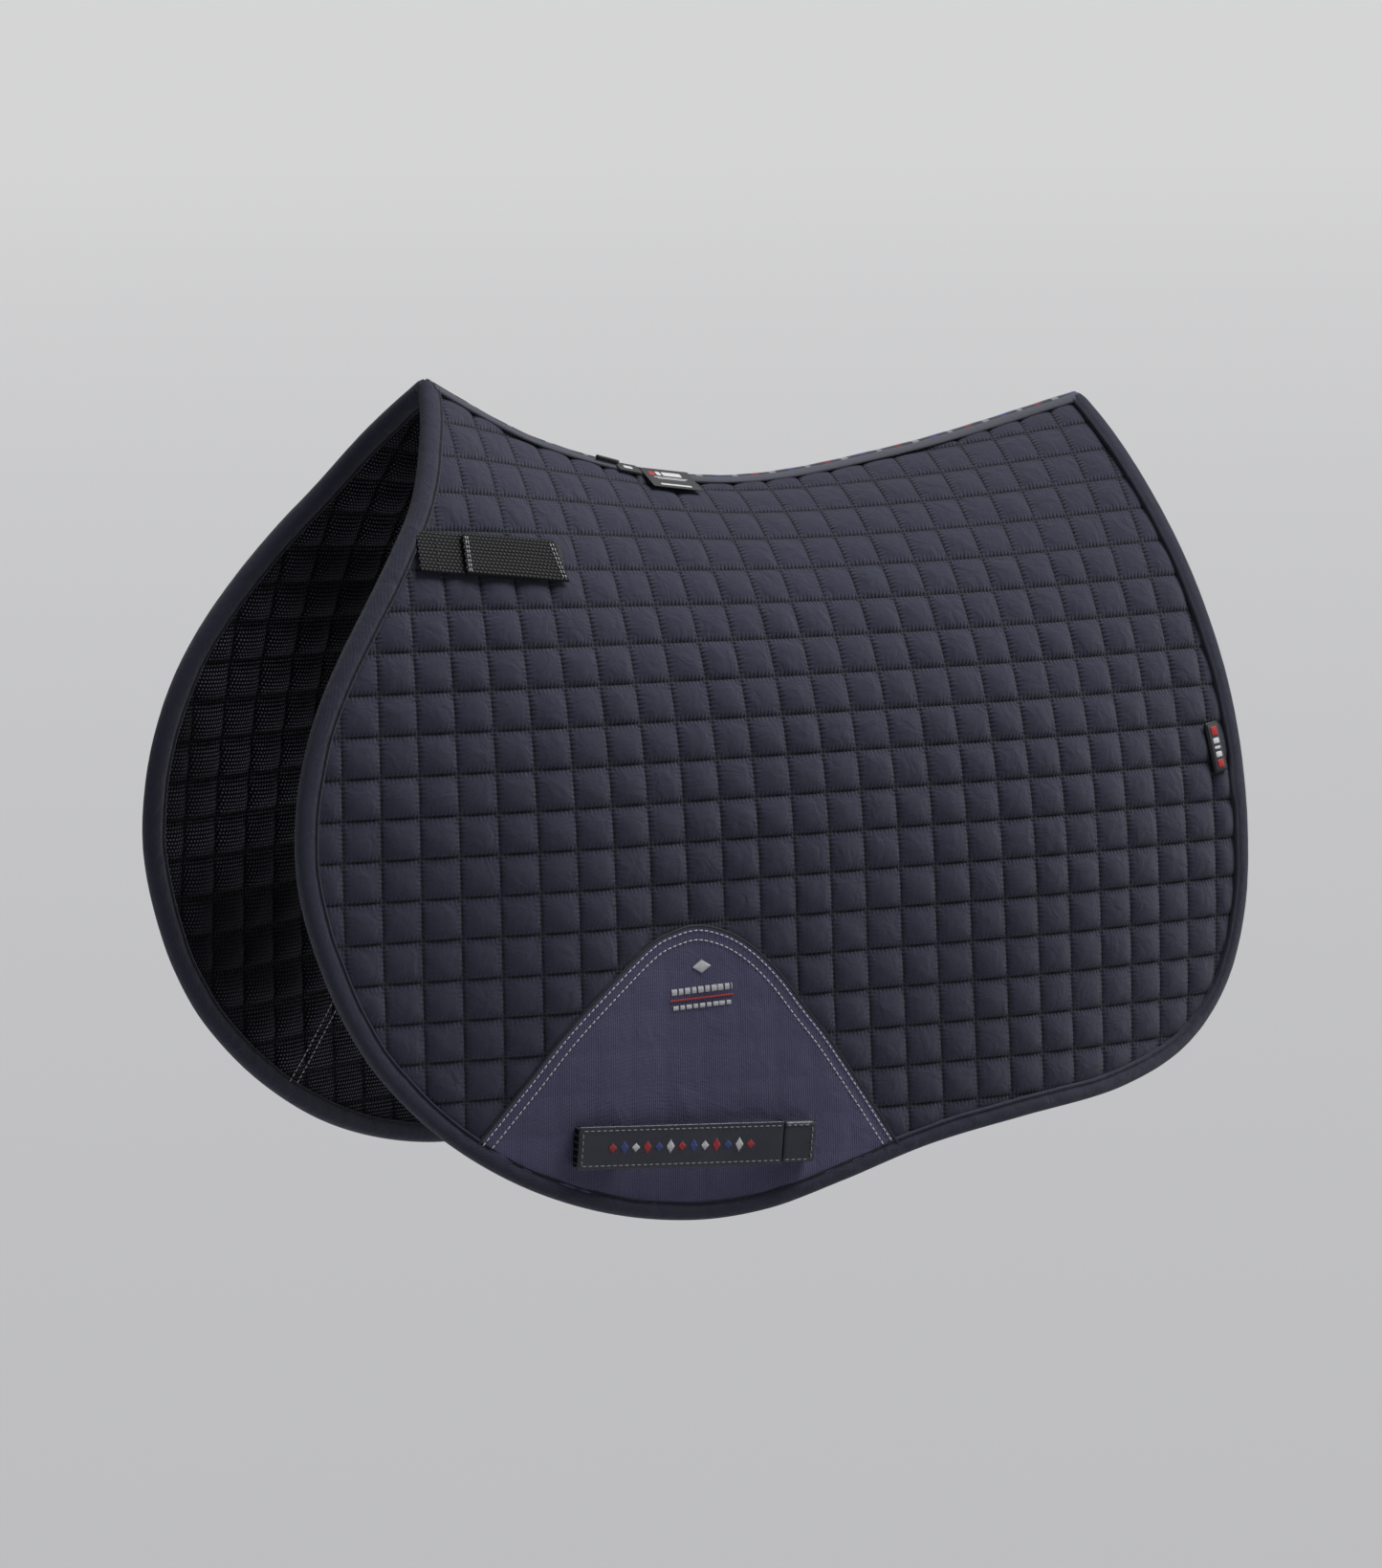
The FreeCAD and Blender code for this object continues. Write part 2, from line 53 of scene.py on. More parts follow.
STATION_X = [share * HALF_LENGTH for share in (-0.98, -0.60, -0.28, 0.10, 0.51, 1.01)]
SPINE_Z = [share * PEAK for share in (1.80, 1.044, 0.411, 0.048, 0.109, 0.395)]
CROWN_ANGLE = [60, 50, 34, 20, 21, 30]
HANG_ANGLE = [85, 91, 90, 87, 87, 93]
SHOULDER = [share * PAD_DROP for share in (0.67, 0.88, 0.71, 0.62, 0.69, 0.84)]
OUTLINE = [(-0.545, 0.000), (-0.550, 0.020), (-0.610, 0.081), (-0.672, 0.141), (-0.740, 0.191),
           (-0.812, 0.245), (-0.880, 0.301), (-0.932, 0.355), (-0.967, 0.408), (-0.990, 0.465),
           (-0.999, 0.529), (-0.991, 0.585), (-0.964, 0.650), (-0.920, 0.720), (-0.850, 0.792),
           (-0.735, 0.868), (-0.590, 0.932), (-0.430, 0.975), (-0.260, 0.998), (-0.110, 0.996),
           (0.050, 0.972), (0.240, 0.942), (0.440, 0.925), (0.680, 0.912), (0.850, 0.880),
           (0.956, 0.818), (1.008, 0.727), (1.024, 0.611), (1.022, 0.470), (1.006, 0.338),
           (0.987, 0.209), (0.982, 0.110), (0.982, 0.095)]
INCH = 0.0254
COLUMN_AT_MIDDLE, COLUMNS_PER_METRE = 12.117, 39.5
ROW_ZERO_Z, ROW_ZERO_SLOPE, ROW_ZERO_X = -0.1157, -0.043, -0.3055
SPINE_GAP = 0.0013
CROWN_ROUND = 0.008
PUFF_HEIGHT, STITCH_DEPTH = 0.0029, 0.0024
COVER_CLOTH = 0.0009


def along(values, x):
    """Eased value at station x, from the six stations down the pad."""
    x, v, s = np.asarray(x, float), np.array(values, float), np.array(STATION_X)
    i = np.clip(np.searchsorted(s, x, side="right") - 1, 0, len(s) - 2)
    slope = np.gradient(v, s)
    slope[1:-1] = (v[2:] - v[:-2]) / (s[2:] - s[:-2])
    width = s[i + 1] - s[i]
    u = (x - s[i]) / width
    return ((2 * u**3 - 3 * u**2 + 1) * v[i] + (u**3 - 2 * u**2 + u) * width * slope[i]
            + (3 * u**2 - 2 * u**3) * v[i + 1] + (u**3 - u**2) * width * slope[i + 1])


DRAPE_X = np.arange(-0.351, 0.3515, 0.003)
DRAPE_RUN = np.arange(0, 0.660, 0.001)


def unit(ways):
    """Directions scaled to length one."""
    return ways / np.linalg.norm(ways, axis=-1, keepdims=True)


def drape_profiles():
    """Points of the near half's outer face: one profile down the horse's side per station."""
    crown, hang = along(CROWN_ANGLE, DRAPE_X)[:, None], along(HANG_ANGLE, DRAPE_X)[:, None]
    shoulder = along(SHOULDER, DRAPE_X)[:, None]
    part = np.maximum(0, 1 - (DRAPE_RUN[None, :] + 0.0005) / shoulder)
    angle = np.radians(hang - (hang - crown) * part**1.5)
    y = np.cumsum(np.cos(angle), 1) * 0.001
    z = np.cumsum(np.sin(angle), 1) * 0.001
    y, z = np.pad(y, ((0, 0), (1, 0)))[:, :-1], np.pad(z, ((0, 0), (1, 0)))[:, :-1]
    z += np.sin(np.radians(crown)) * np.maximum(0, CROWN_ROUND - DRAPE_RUN[None, :])**2 / (2 * CROWN_ROUND)
    x = np.repeat(DRAPE_X[:, None], len(DRAPE_RUN), 1)
    return np.stack([x, -y, along(SPINE_Z, DRAPE_X)[:, None] - z], -1)


DRAPE = drape_profiles()
DRAPE_OUT = unit(np.cross(np.gradient(DRAPE, axis=0), -np.gradient(DRAPE, axis=1)))


def read_drape(table, x, run):
    """A value between the drape's table entries, at x and run."""
    across = np.clip((np.asarray(x, float) - DRAPE_X[0]) / 0.003, 0, len(DRAPE_X) - 1.001)
    down = np.clip(np.asarray(run, float) / 0.001, 0, len(DRAPE_RUN) - 1.001)
    i, j = across.astype(int), down.astype(int)
    a, b = (across - i)[..., None], (down - j)[..., None]
    return (table[i, j] * (1 - a) * (1 - b) + table[i + 1, j] * a * (1 - b)
            + table[i, j + 1] * (1 - a) * b + table[i + 1, j + 1] * a * b)


def on_drape(x, run, lift=0.0):
    """A point lift outside the near half's outer face, x along the pad and run down the cloth."""
    return read_drape(DRAPE, x, run) + np.asarray(lift)[..., None] * read_drape(DRAPE_OUT, x, run)


def run_to(x, z):
    """How far down the cloth the face reaches height z, at x."""
    x, z = np.broadcast_arrays(np.asarray(x, float), np.asarray(z, float))
    across = np.clip((x - DRAPE_X[0]) / 0.003, 0, len(DRAPE_X) - 1.001)
    i = across.astype(int)
    a = (across - i)[..., None]
    heights = DRAPE[i, :, 2] * (1 - a) + DRAPE[i + 1, :, 2] * a
    flat = heights.reshape(-1, len(DRAPE_RUN))
    return np.array([np.interp(-t, -h, DRAPE_RUN) for t, h in zip(z.ravel(), flat)]).reshape(x.shape)


def smooth_through(points, steps):
    """A smooth line through points, with steps pieces between each two."""
    p = np.array(points, float)
    p = np.vstack([2 * p[0] - p[1], p, 2 * p[-1] - p[-2]])
    t = (np.arange(steps) / steps)[:, None]
    runs = [0.5 * (2 * b + (c - a) * t + (2 * a - 5 * b + 4 * c - d) * t**2
                   + (3 * b - a - 3 * c + d) * t**3)
            for a, b, c, d in zip(p[:-3], p[1:-2], p[2:-1], p[3:])]
    return np.vstack(runs + [p[-2:-1]])


def side_line(shares, steps=20):
    """A side-view line, in shares of the pad's size, as (x, run) down the cloth."""
    line = smooth_through([(sx * HALF_LENGTH, PEAK - sz * PAD_DROP) for sx, sz in shares], steps)
    return np.stack([line[:, 0], run_to(line[:, 0], line[:, 1])], -1)


EDGE_LINE = side_line(OUTLINE)
EDGE_LINE[0, 1] = EDGE_LINE[-1, 1] = 0.0
edge_points = on_drape(EDGE_LINE[:, 0], EDGE_LINE[:, 1])
edge_tree = kdtree.KDTree(len(edge_points))
for number, point in enumerate(edge_points):
    edge_tree.insert(Vector(point), number)
edge_tree.balance()


def is_inside(x, run, line):
    """Whether each point lies inside a closed line of (x, run) corners."""
    shape = x.shape
    x, run = x.ravel(), run.ravel()
    inside = np.zeros(len(x), bool)
    for (xa, ra), (xb, rb) in zip(line, np.roll(line, -1, 0)):
        if ra != rb:
            crossed = (ra > run) != (rb > run)
            inside ^= crossed & (x < (xb - xa) * (run - ra) / (rb - ra) + xa)
    return inside.reshape(shape)


def row_zero(x):
    """How far down the cloth the row of stitches numbered 0 runs, at x."""
    return run_to(x, ROW_ZERO_Z + ROW_ZERO_SLOPE * (x - ROW_ZERO_X))


def quilt_place(column, row):
    """Where a place on the quilting lies: columns count rearward, rows down, an inch each."""
    bow = np.minimum(row, 6.7)
    x = (column - COLUMN_AT_MIDDLE - 0.08 * bow + 0.006 * bow**2) / COLUMNS_PER_METRE
    return x, row_zero(x) + INCH * row


def cell_noise(a, b, salt):
    """A steady number from 0 to 1 for each square."""
    n = np.sin(a * 127.1 + b * 311.7 + salt * 74.7) * 43758.5453
    return n - np.floor(n)


class Quilt:
    """The quilting's grid over one half: close lines beside each row of stitches."""

    def __init__(self, shares):
        columns = np.concatenate([k + np.array(shares) for k in range(-2, 27)])
        rows = np.concatenate([k + np.array(shares) for k in range(-10, 14)])
        self.c, self.r = np.meshgrid(columns, rows, indexing="ij")
        self.x, self.run = quilt_place(self.c, self.r)
        fence = np.vstack([[EDGE_LINE[0, 0], -0.3], EDGE_LINE, [EDGE_LINE[-1, 0], -0.3]])
        keep = is_inside(self.x, self.run, fence)
        self.run = np.maximum(self.run, SPINE_GAP)
        flat = on_drape(self.x, self.run)
        self.edge = np.array([edge_tree.find(Vector(p))[2] for p in flat.reshape(-1, 3)])
        self.edge = self.edge.reshape(self.x.shape)
        keep &= self.edge > 0.0015
        moving = self.run > SPINE_GAP
        quad = keep[:-1, :-1] & keep[1:, :-1] & keep[:-1, 1:] & keep[1:, 1:]
        quad &= moving[:-1, :-1] | moving[1:, :-1] | moving[:-1, 1:] | moving[1:, 1:]
        self.quads = np.argwhere(quad)

    def puff(self, sag):
        """How far each point of the quilting swells, 0 at the stitches and 1 at the fullest."""
        u, v = self.c - np.floor(self.c), self.r - np.floor(self.r)
        square = (np.floor(self.c), np.floor(self.r))
        v = v**sag
        lean = 0.16 * (cell_noise(*square, 1) - 0.5)
        u = u + lean * u * (1 - u) * 2
        swell = (1 - np.abs(2 * u - 1)**2.7) * (1 - np.abs(2 * v - 1)**2.7)
        swell = np.clip(swell, 0, 1)**0.75
        return swell * (0.86 + 0.28 * cell_noise(*square, 2))

    def sheet(self, name, outer, inner, material, back):
        """A closed thin sheet between two lifts from the outer face."""
        n = self.x.size
        flat_index = np.arange(n).reshape(self.x.shape)
        i, j = self.quads[:, 0], self.quads[:, 1]
        top = np.stack([flat_index[i, j], flat_index[i, j + 1],
                        flat_index[i + 1, j + 1], flat_index[i + 1, j]], -1)
        under = top[:, ::-1] + n
        edges = np.concatenate([top[:, [k, (k + 1) % 4]] for k in range(4)])
        key = np.sort(edges, 1)
        _, first, count = np.unique(key[:, 0] * (2 * n) + key[:, 1], return_index=True,
                                    return_counts=True)
        rim = edges[first[count == 1]]
        walls = np.stack([rim[:, 1], rim[:, 0], rim[:, 0] + n, rim[:, 1] + n], -1)
        points = np.concatenate([on_drape(self.x, self.run, outer).reshape(-1, 3),
                                 on_drape(self.x, self.run, inner).reshape(-1, 3)])
        cloth = np.stack([self.c, self.r], -1).reshape(-1, 2) * INCH
        return sewn_mesh(name, points, np.concatenate([top, under, walls]), material,
                         np.concatenate([cloth, cloth]), back)


def sewn_mesh(name, points, faces, material, cloth=None, mirrored=False):
    """A closed mesh from points and faces of corner numbers, turned outward, unused points dropped."""
    faces = [np.asarray(f, int) for f in (faces if isinstance(faces, list) else [faces]) if len(f)]
    used, inverse = np.unique(np.concatenate([f.ravel() for f in faces]), return_inverse=True)
    points = np.array(points, float)[used]
    if mirrored:
        points[:, 1] *= -1
    sizes, corners, start, volume = [], [], 0, 0.0
    for f in faces:
        c = inverse[start:start + f.size].reshape(f.shape)
        start += f.size
        sizes.append(np.full(len(c), f.shape[1]))
        corners.append(c)
        fan = points[c] - points.mean(0)
        volume += sum((fan[:, 0] * np.cross(fan[:, k], fan[:, k + 1])).sum()
                      for k in range(1, f.shape[1] - 1))
    if volume < 0:
        corners = [c[:, ::-1] for c in corners]
    mesh = bpy.data.meshes.new(name)
    sizes, corners = np.concatenate(sizes), np.concatenate([c.ravel() for c in corners])
    mesh.vertices.add(len(points))
    mesh.vertices.foreach_set("co", points.ravel().astype(np.float32))
    mesh.loops.add(len(corners))
    mesh.loops.foreach_set("vertex_index", corners.astype(np.int32))
    mesh.polygons.add(len(sizes))
    mesh.polygons.foreach_set("loop_start", np.concatenate([[0], np.cumsum(sizes)[:-1]]).astype(np.int32))
    if cloth is not None:
        layer = mesh.uv_layers.new(name="cloth")
        layer.data.foreach_set("uv", np.array(cloth, float)[used][corners].ravel().astype(np.float32))
    mesh.update(calc_edges=True)
    mesh.validate()
    mesh.polygons.foreach_set("use_smooth", np.full(len(mesh.polygons), True))
    piece = bpy.data.objects.new(name, mesh)
    bpy.context.scene.collection.objects.link(piece)
    mesh.materials.append(material)
    return piece


def cloth_material(name):
    """An empty material for one finish, with its shader and its node tree."""
    material = bpy.data.materials.new(name)
    material.use_nodes = True
    tree = material.node_tree
    return material, tree, tree.nodes["Principled BSDF"]


def feed(tree, value, socket):
    """Give a socket a value, or what another node puts out."""
    if isinstance(value, bpy.types.NodeSocket):
        tree.links.new(value, socket)
    else:
        socket.default_value = value


def node(tree, kind, inputs=(), **settings):
    """A node with its settings made and its inputs fed."""
    made = tree.nodes.new(kind)
    for key, value in settings.items():
        setattr(made, key, value)
    for key, value in dict(inputs).items():
        feed(tree, value, made.inputs[key])
    return made


def sums(tree, operation, a, b=0.0, c=0.0):
    """What a sum of up to three values comes to."""
    return node(tree, "ShaderNodeMath", {0: a, 1: b, 2: c}, operation=operation).outputs[0]


def eased(tree, value, low, high, start=0.0, end=1.0):
    """A value eased from start to end while another goes from low to high."""
    return node(tree, "ShaderNodeMapRange", {0: value, 1: low, 2: high, 3: start, 4: end},
                interpolation_type="SMOOTHSTEP").outputs[0]


def parts(tree, place):
    """The x, y and z of a place."""
    return node(tree, "ShaderNodeSeparateXYZ", {0: place}).outputs


def cloth_place(tree):
    """Place over the cloth laid flat, in metres."""
    return node(tree, "ShaderNodeUVMap", uv_map="cloth").outputs[0]


def object_place(tree):
    """Place in the pad's own space, in metres."""
    return node(tree, "ShaderNodeTexCoord").outputs["Object"]


def ramp(tree, fac, stops, interpolation="LINEAR"):
    """A colour read off a row of (place, colour) stops."""
    made = node(tree, "ShaderNodeValToRGB", {0: fac})
    made.color_ramp.interpolation = interpolation
    elements = made.color_ramp.elements
    while len(elements) < len(stops):
        elements.new(0.5)
    for element, (spot, colour) in zip(elements, stops):
        element.position, element.color = spot, (*colour, 1)
    return made.outputs[0]


def group_of(name, numbers, results):
    """A node group that takes a place and named numbers, and gives named numbers."""
    tree = bpy.data.node_groups.new(name, "ShaderNodeTree")
    tree.interface.new_socket("Place", in_out="INPUT", socket_type="NodeSocketVector")
    for key, value in numbers.items():
        socket = tree.interface.new_socket(key, in_out="INPUT", socket_type="NodeSocketFloat")
        socket.default_value = value
    for key in results:
        tree.interface.new_socket(key, in_out="OUTPUT", socket_type="NodeSocketFloat")
    return tree, tree.nodes.new("NodeGroupInput").outputs, tree.nodes.new("NodeGroupOutput").inputs


def twill_group():
    """Diagonal ribs of a twill, crossed by fainter threads, with slubs. Place is in metres."""
    tree, given, out = group_of("twill weave", {"Pitch": 0.001, "Lean": 1.0, "Slub": 0.3},
                                ("Height", "Shade"))
    x, y = parts(tree, given["Place"])[:2]
    turns = sums(tree, "DIVIDE", 6.2832, given["Pitch"])
    leant = sums(tree, "ADD", sums(tree, "MULTIPLY", x, given["Lean"]), y)
    rib = sums(tree, "SINE", sums(tree, "MULTIPLY", leant, turns))
    crossed = sums(tree, "SUBTRACT", sums(tree, "MULTIPLY", x, 1.7), y)
    pick = sums(tree, "SINE", sums(tree, "MULTIPLY", crossed, turns))
    stretched = node(tree, "ShaderNodeVectorMath", {0: given["Place"], 1: (300, 900, 300)},
                     operation="MULTIPLY")
    slub = node(tree, "ShaderNodeTexNoise", {"Vector": stretched.outputs[0], "Scale": 1.0,
                                             "Detail": 3.0}).outputs["Fac"]
    height = sums(tree, "MULTIPLY_ADD", pick, 0.25, rib)
    height = sums(tree, "MULTIPLY_ADD", sums(tree, "SUBTRACT", slub, 0.5),
                  sums(tree, "MULTIPLY", given["Slub"], 4.0), height)
    shade = node(tree, "ShaderNodeClamp", {0: sums(tree, "MULTIPLY_ADD", height, 0.5, 0.5)})
    feed(tree, height, out["Height"])
    feed(tree, shade.outputs[0], out["Shade"])
    return tree


def seam_group():
    """Masks of the quilting: 1 on a stitch line for painted groove shade, and the dots of thread and needle
    along it.
    """
    tree, given, out = group_of("quilt seams", {"Width": 0.05}, ("Line", "Dots", "Pucker"))
    cells = node(tree, "ShaderNodeVectorMath", {0: given["Place"], 1: (1 / INCH, 1 / INCH, 0)},
                 operation="MULTIPLY")
    split = parts(tree, cells.outputs[0])
    lines, dots, pulls = [], [], []
    for this, other in ((0, 1), (1, 0)):
        off = sums(tree, "PINGPONG", split[this], 0.5)
        step = sums(tree, "PINGPONG", sums(tree, "MULTIPLY", split[other], 9.0), 0.5)
        lines.append(eased(tree, off, 0.0, given["Width"], 1.0, 0.0))
        dots.append(sums(tree, "MULTIPLY", eased(tree, step, 0.1, 0.3),
                         eased(tree, off, 0.0, 0.028, 1.0, 0.0)))
        pulls.append(sums(tree, "MULTIPLY", eased(tree, off, 0.0, 0.2, 1.0, 0.0), step))
    # The stitch-line mask, used as painted shade in the seam grooves.
    feed(tree, sums(tree, "MAXIMUM", *lines), out["Line"])
    feed(tree, sums(tree, "MAXIMUM", *dots), out["Dots"])
    feed(tree, sums(tree, "ADD", *pulls), out["Pucker"])
    return tree


def crumple_group():
    """Soft creases and cloudy wear of a handled cloth."""
    tree, given, out = group_of("handled cloth", {"Size": 60.0}, ("Crease", "Cloud"))
    crease = node(tree, "ShaderNodeTexNoise", {"Vector": given["Place"], "Scale": given["Size"],
                                               "Detail": 3.0, "Roughness": 0.55, "Distortion": 0.6})
    cloud = node(tree, "ShaderNodeTexNoise", {"Vector": given["Place"], "Scale": 9.0, "Detail": 2.0})
    feed(tree, crease.outputs["Fac"], out["Crease"])
    feed(tree, cloud.outputs["Fac"], out["Cloud"])
    return tree


TWILL, SEAMS, HANDLED = twill_group(), seam_group(), crumple_group()


def use(tree, group, **inputs):
    """What a node group puts out for these inputs."""
    return node(tree, "ShaderNodeGroup", inputs, node_tree=group).outputs


def surface(tree, shader, colour, layers, bumps, roughness, specular=0.5, sheen=0.0,
            sheen_roughness=0.5):
    """Lay (share, strength, colour) layers over a base colour, then chain (height, depth) bumps."""
    for share, strength, over in layers:
        colour = node(tree, "ShaderNodeMix", {0: sums(tree, "MULTIPLY", share, strength), 6: colour,
                                              7: (*over, 1)}, data_type="RGBA").outputs[2]
    for key, value in (("Base Color", colour), ("Roughness", roughness),
                       ("Specular IOR Level", specular), ("Sheen Weight", sheen),
                       ("Sheen Roughness", sheen_roughness)):
        feed(tree, value, shader.inputs[key])
    before = {}
    for height, depth in bumps:
        bump = node(tree, "ShaderNodeBump", {"Height": height, "Distance": depth, "Strength": 1.0,
                                             **before}).outputs[0]
        feed(tree, bump, shader.inputs["Normal"])
        before = {"Normal": bump}


def cover_twill():
    material, tree, shader = cloth_material("navy cotton twill")
    cloth = cloth_place(tree)
    weave = use(tree, TWILL, Place=cloth, Pitch=0.0011, Lean=1.0, Slub=0.35)
    seams = use(tree, SEAMS, Place=cloth, Width=0.055)
    worn = use(tree, HANDLED, Place=object_place(tree), Size=70.0)
    base = ramp(tree, weave["Shade"], [(0.0, (0.026, 0.027, 0.044)), (1.0, (0.070, 0.073, 0.116))])
    # Painted shade: the stitch-line mask darkens the twill in the seam grooves.
    surface(tree, shader, base,
            [(worn["Cloud"], 0.5, (0.034, 0.036, 0.057)), (seams["Line"], 0.85, (0.006, 0.006, 0.010)),
             (seams["Dots"], 0.75, (0.055, 0.058, 0.075))],
            [(worn["Crease"], 0.0022), (seams["Pucker"], 0.0016), (seams["Dots"], 0.0005),
             (weave["Height"], 0.00012)], 0.82, 0.12, 0.14, 0.45)
    return material


NAVY_TWILL = cover_twill()
fine = Quilt((0, 0.05, 0.14, 0.3, 0.5, 0.7, 0.86, 0.95))


def near_smooth(value, low, high):
    """0 below low, 1 above high, eased between."""
    t = np.clip((value - low) / (high - low), 0, 1)
    return t * t * (3 - 2 * t)


PATCH_LINE = [(-0.720, 0.905), (-0.653, 0.859), (-0.584, 0.809), (-0.508, 0.754), (-0.424, 0.706),
              (-0.338, 0.664), (-0.287, 0.651), (-0.232, 0.647), (-0.171, 0.660), (-0.119, 0.683),
              (-0.068, 0.717), (-0.023, 0.756), (0.024, 0.796), (0.092, 0.863), (0.142, 0.914),
              (0.190, 0.962)]
PATCH_EDGE = side_line(PATCH_LINE, 24)
patch_run = np.interp(fine.x, PATCH_EDGE[:, 0], PATCH_EDGE[:, 1], left=9, right=9)
under_patch = near_smooth(fine.run - patch_run, -0.012, 0.004)

cover_swell = fine.puff(1.22) * near_smooth(fine.edge, 0.006, 0.024)
cover_swell *= 0.62 + 0.38 * near_smooth(fine.r, -6.5, -1.0)
cover_face = -STITCH_DEPTH + (PUFF_HEIGHT + STITCH_DEPTH * 0.4) * cover_swell
cover_face = cover_face * (1 - under_patch) - 0.0009 * under_patch
cover_face = np.where(fine.edge < 0.012, np.minimum(cover_face, -0.0004), cover_face)
SIDES = (("near", False), ("off", True))


def over_spine(piece, part):
    """Hide the part a piece stands for and bake the piece's place into its mesh."""
    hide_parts(part)
    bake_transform(piece)


for side, back in SIDES:
    cover = fine.sheet(f"{side}_quilted_cover", cover_face, cover_face - COVER_CLOTH, NAVY_TWILL, back)
    over_spine(cover, f"{side}_cover")

# ---------------------------------------------------------------- inner linings
# The face against the horse: a dark ribbed mesh that lets sweat through, quilted with the same
# stitches. It is softer than the twill, so its squares hang over their lower seams in deep folds.
PAD_THICK = 0.008
LINING_SWELL = 0.0052
LINING_CLOTH = 0.0009


def lining_mesh():
    material, tree, shader = cloth_material("ribbed wicking mesh")
    cloth = cloth_place(tree)
    split = parts(tree, cloth)
    seams = use(tree, SEAMS, Place=cloth, Width=0.10)
    worn = use(tree, HANDLED, Place=object_place(tree), Size=45.0)
    course = sums(tree, "DIVIDE", split[1], 0.0024)
    rib = sums(tree, "PINGPONG", course, 0.5)
    shift = sums(tree, "MULTIPLY", sums(tree, "FLOOR", course), 0.37)
    stitch = sums(tree, "PINGPONG", sums(tree, "ADD", sums(tree, "DIVIDE", split[0], 0.0021), shift), 0.5)
    knit = sums(tree, "MULTIPLY", eased(tree, rib, 0.1, 0.42), eased(tree, stitch, 0.16, 0.34))
    shown = node(tree, "ShaderNodeMapRange", {0: worn["Cloud"], 1: 0.3, 2: 0.7, 3: 0.45, 4: 1.0})
    colour = ramp(tree, sums(tree, "MULTIPLY", knit, shown.outputs[0]),
                  [(0.0, (0.003, 0.003, 0.005)), (0.45, (0.010, 0.010, 0.018)),
                   (1.0, (0.230, 0.235, 0.320))])
    # Painted shade: the stitch-line mask darkens the mesh almost to black in the seam grooves.
    surface(tree, shader, colour, [(seams["Line"], 0.9, (0.0015, 0.0015, 0.003))],
            [(worn["Crease"], 0.0016), (seams["Pucker"], 0.0020), (knit, 0.0007)], 0.7, 0.08, 0.05)
    return material


WICKING_MESH = lining_mesh()
lining_swell = fine.puff(1.55) * near_smooth(fine.edge, 0.006, 0.024)
lining_swell *= 1 - 0.55 * under_patch
lining_base = -PAD_THICK + 0.0026 * (1 - 0.5 * under_patch)
lining_face = lining_base - LINING_SWELL * lining_swell
lining_face = np.where(fine.edge < 0.012, np.maximum(lining_face, -PAD_THICK), lining_face)
for side, back in SIDES:
    lining = fine.sheet(f"{side}_lining_sheet", lining_face + LINING_CLOTH, lining_face,
                        WICKING_MESH, back)
    over_spine(lining, f"{side}_lining")

# ---------------------------------------------------------------- wadding
# A layer of white fibre filling between cover and lining, pinched thin along every stitch line.


def fibre_filling():
    material, tree, shader = cloth_material("fibre filling")
    worn = use(tree, HANDLED, Place=object_place(tree), Size=220.0)
    colour = ramp(tree, worn["Crease"], [(0.3, (0.55, 0.54, 0.51)), (0.7, (0.8, 0.79, 0.77))])
    surface(tree, shader, colour, [], [(worn["Crease"], 0.001)], 0.95)
    return material


FILLING = fibre_filling()
coarse = Quilt((0, 0.14, 0.5, 0.86))
coarse_swell = coarse.puff(1.3) * near_smooth(coarse.edge, 0.006, 0.024) * 0.7
for side, back in SIDES:
    wadding = coarse.sheet(f"{side}_filling", -STITCH_DEPTH - 0.0013 + 0.0012 * coarse_swell,
                           -PAD_THICK + 0.0037 - 0.0015 * coarse_swell, FILLING, back)
    over_spine(wadding, f"{side}_wadding")

# ---------------------------------------------------------------- edge bindings
# Navy bias tape folded over the raw edge of each half and topstitched through all the layers.
# The tape is cut on the slant, so it turns the curves with small wrinkles on its inner side.
BINDING_FOLD = [(0.0134, -0.0012), (0.0131, 0.0009), (0.0121, 0.0014), (0.0112, 0.0009),
                (0.0105, 0.0008), (0.0096, 0.0014), (0.0075, 0.0017), (0.0050, 0.0015),
                (0.0027, 0.0008), (0.0009, -0.0008), (0.0000, -0.0040), (0.0009, -0.0072),
                (0.0027, -0.0088), (0.0050, -0.0095), (0.0075, -0.0097), (0.0096, -0.0094),
                (0.0105, -0.0088), (0.0112, -0.0089), (0.0121, -0.0094), (0.0131, -0.0089),
                (0.0134, -0.0068)]


def inward_steps(line):
    """At each point of an (x, run) line, the (x, run) step that is one metre inward on the cloth."""
    step = 0.0005
    ahead = unit(np.gradient(on_drape(*line.T), axis=0))
    inward = np.cross(ahead, read_drape(DRAPE_OUT, *line.T))
    dx = (on_drape(line[:, 0] + step, line[:, 1]) - on_drape(line[:, 0] - step, line[:, 1])) / (2 * step)
    down = np.maximum(line[:, 1], step)
    dr = (on_drape(line[:, 0], down + step) - on_drape(line[:, 0], down - step)) / (2 * step)
    a, b, c = (dx * dx).sum(1), (dx * dr).sum(1), (dr * dr).sum(1)
    p, q = (dx * inward).sum(1), (dr * inward).sum(1)
    det = a * c - b * b
    return np.stack([(p * c - q * b) / det, (q * a - p * b) / det], -1)


def far_along(points):
    """How far along a line each of its points lies."""
    return np.concatenate([[0], np.cumsum(np.linalg.norm(np.diff(points, axis=0), axis=1))])


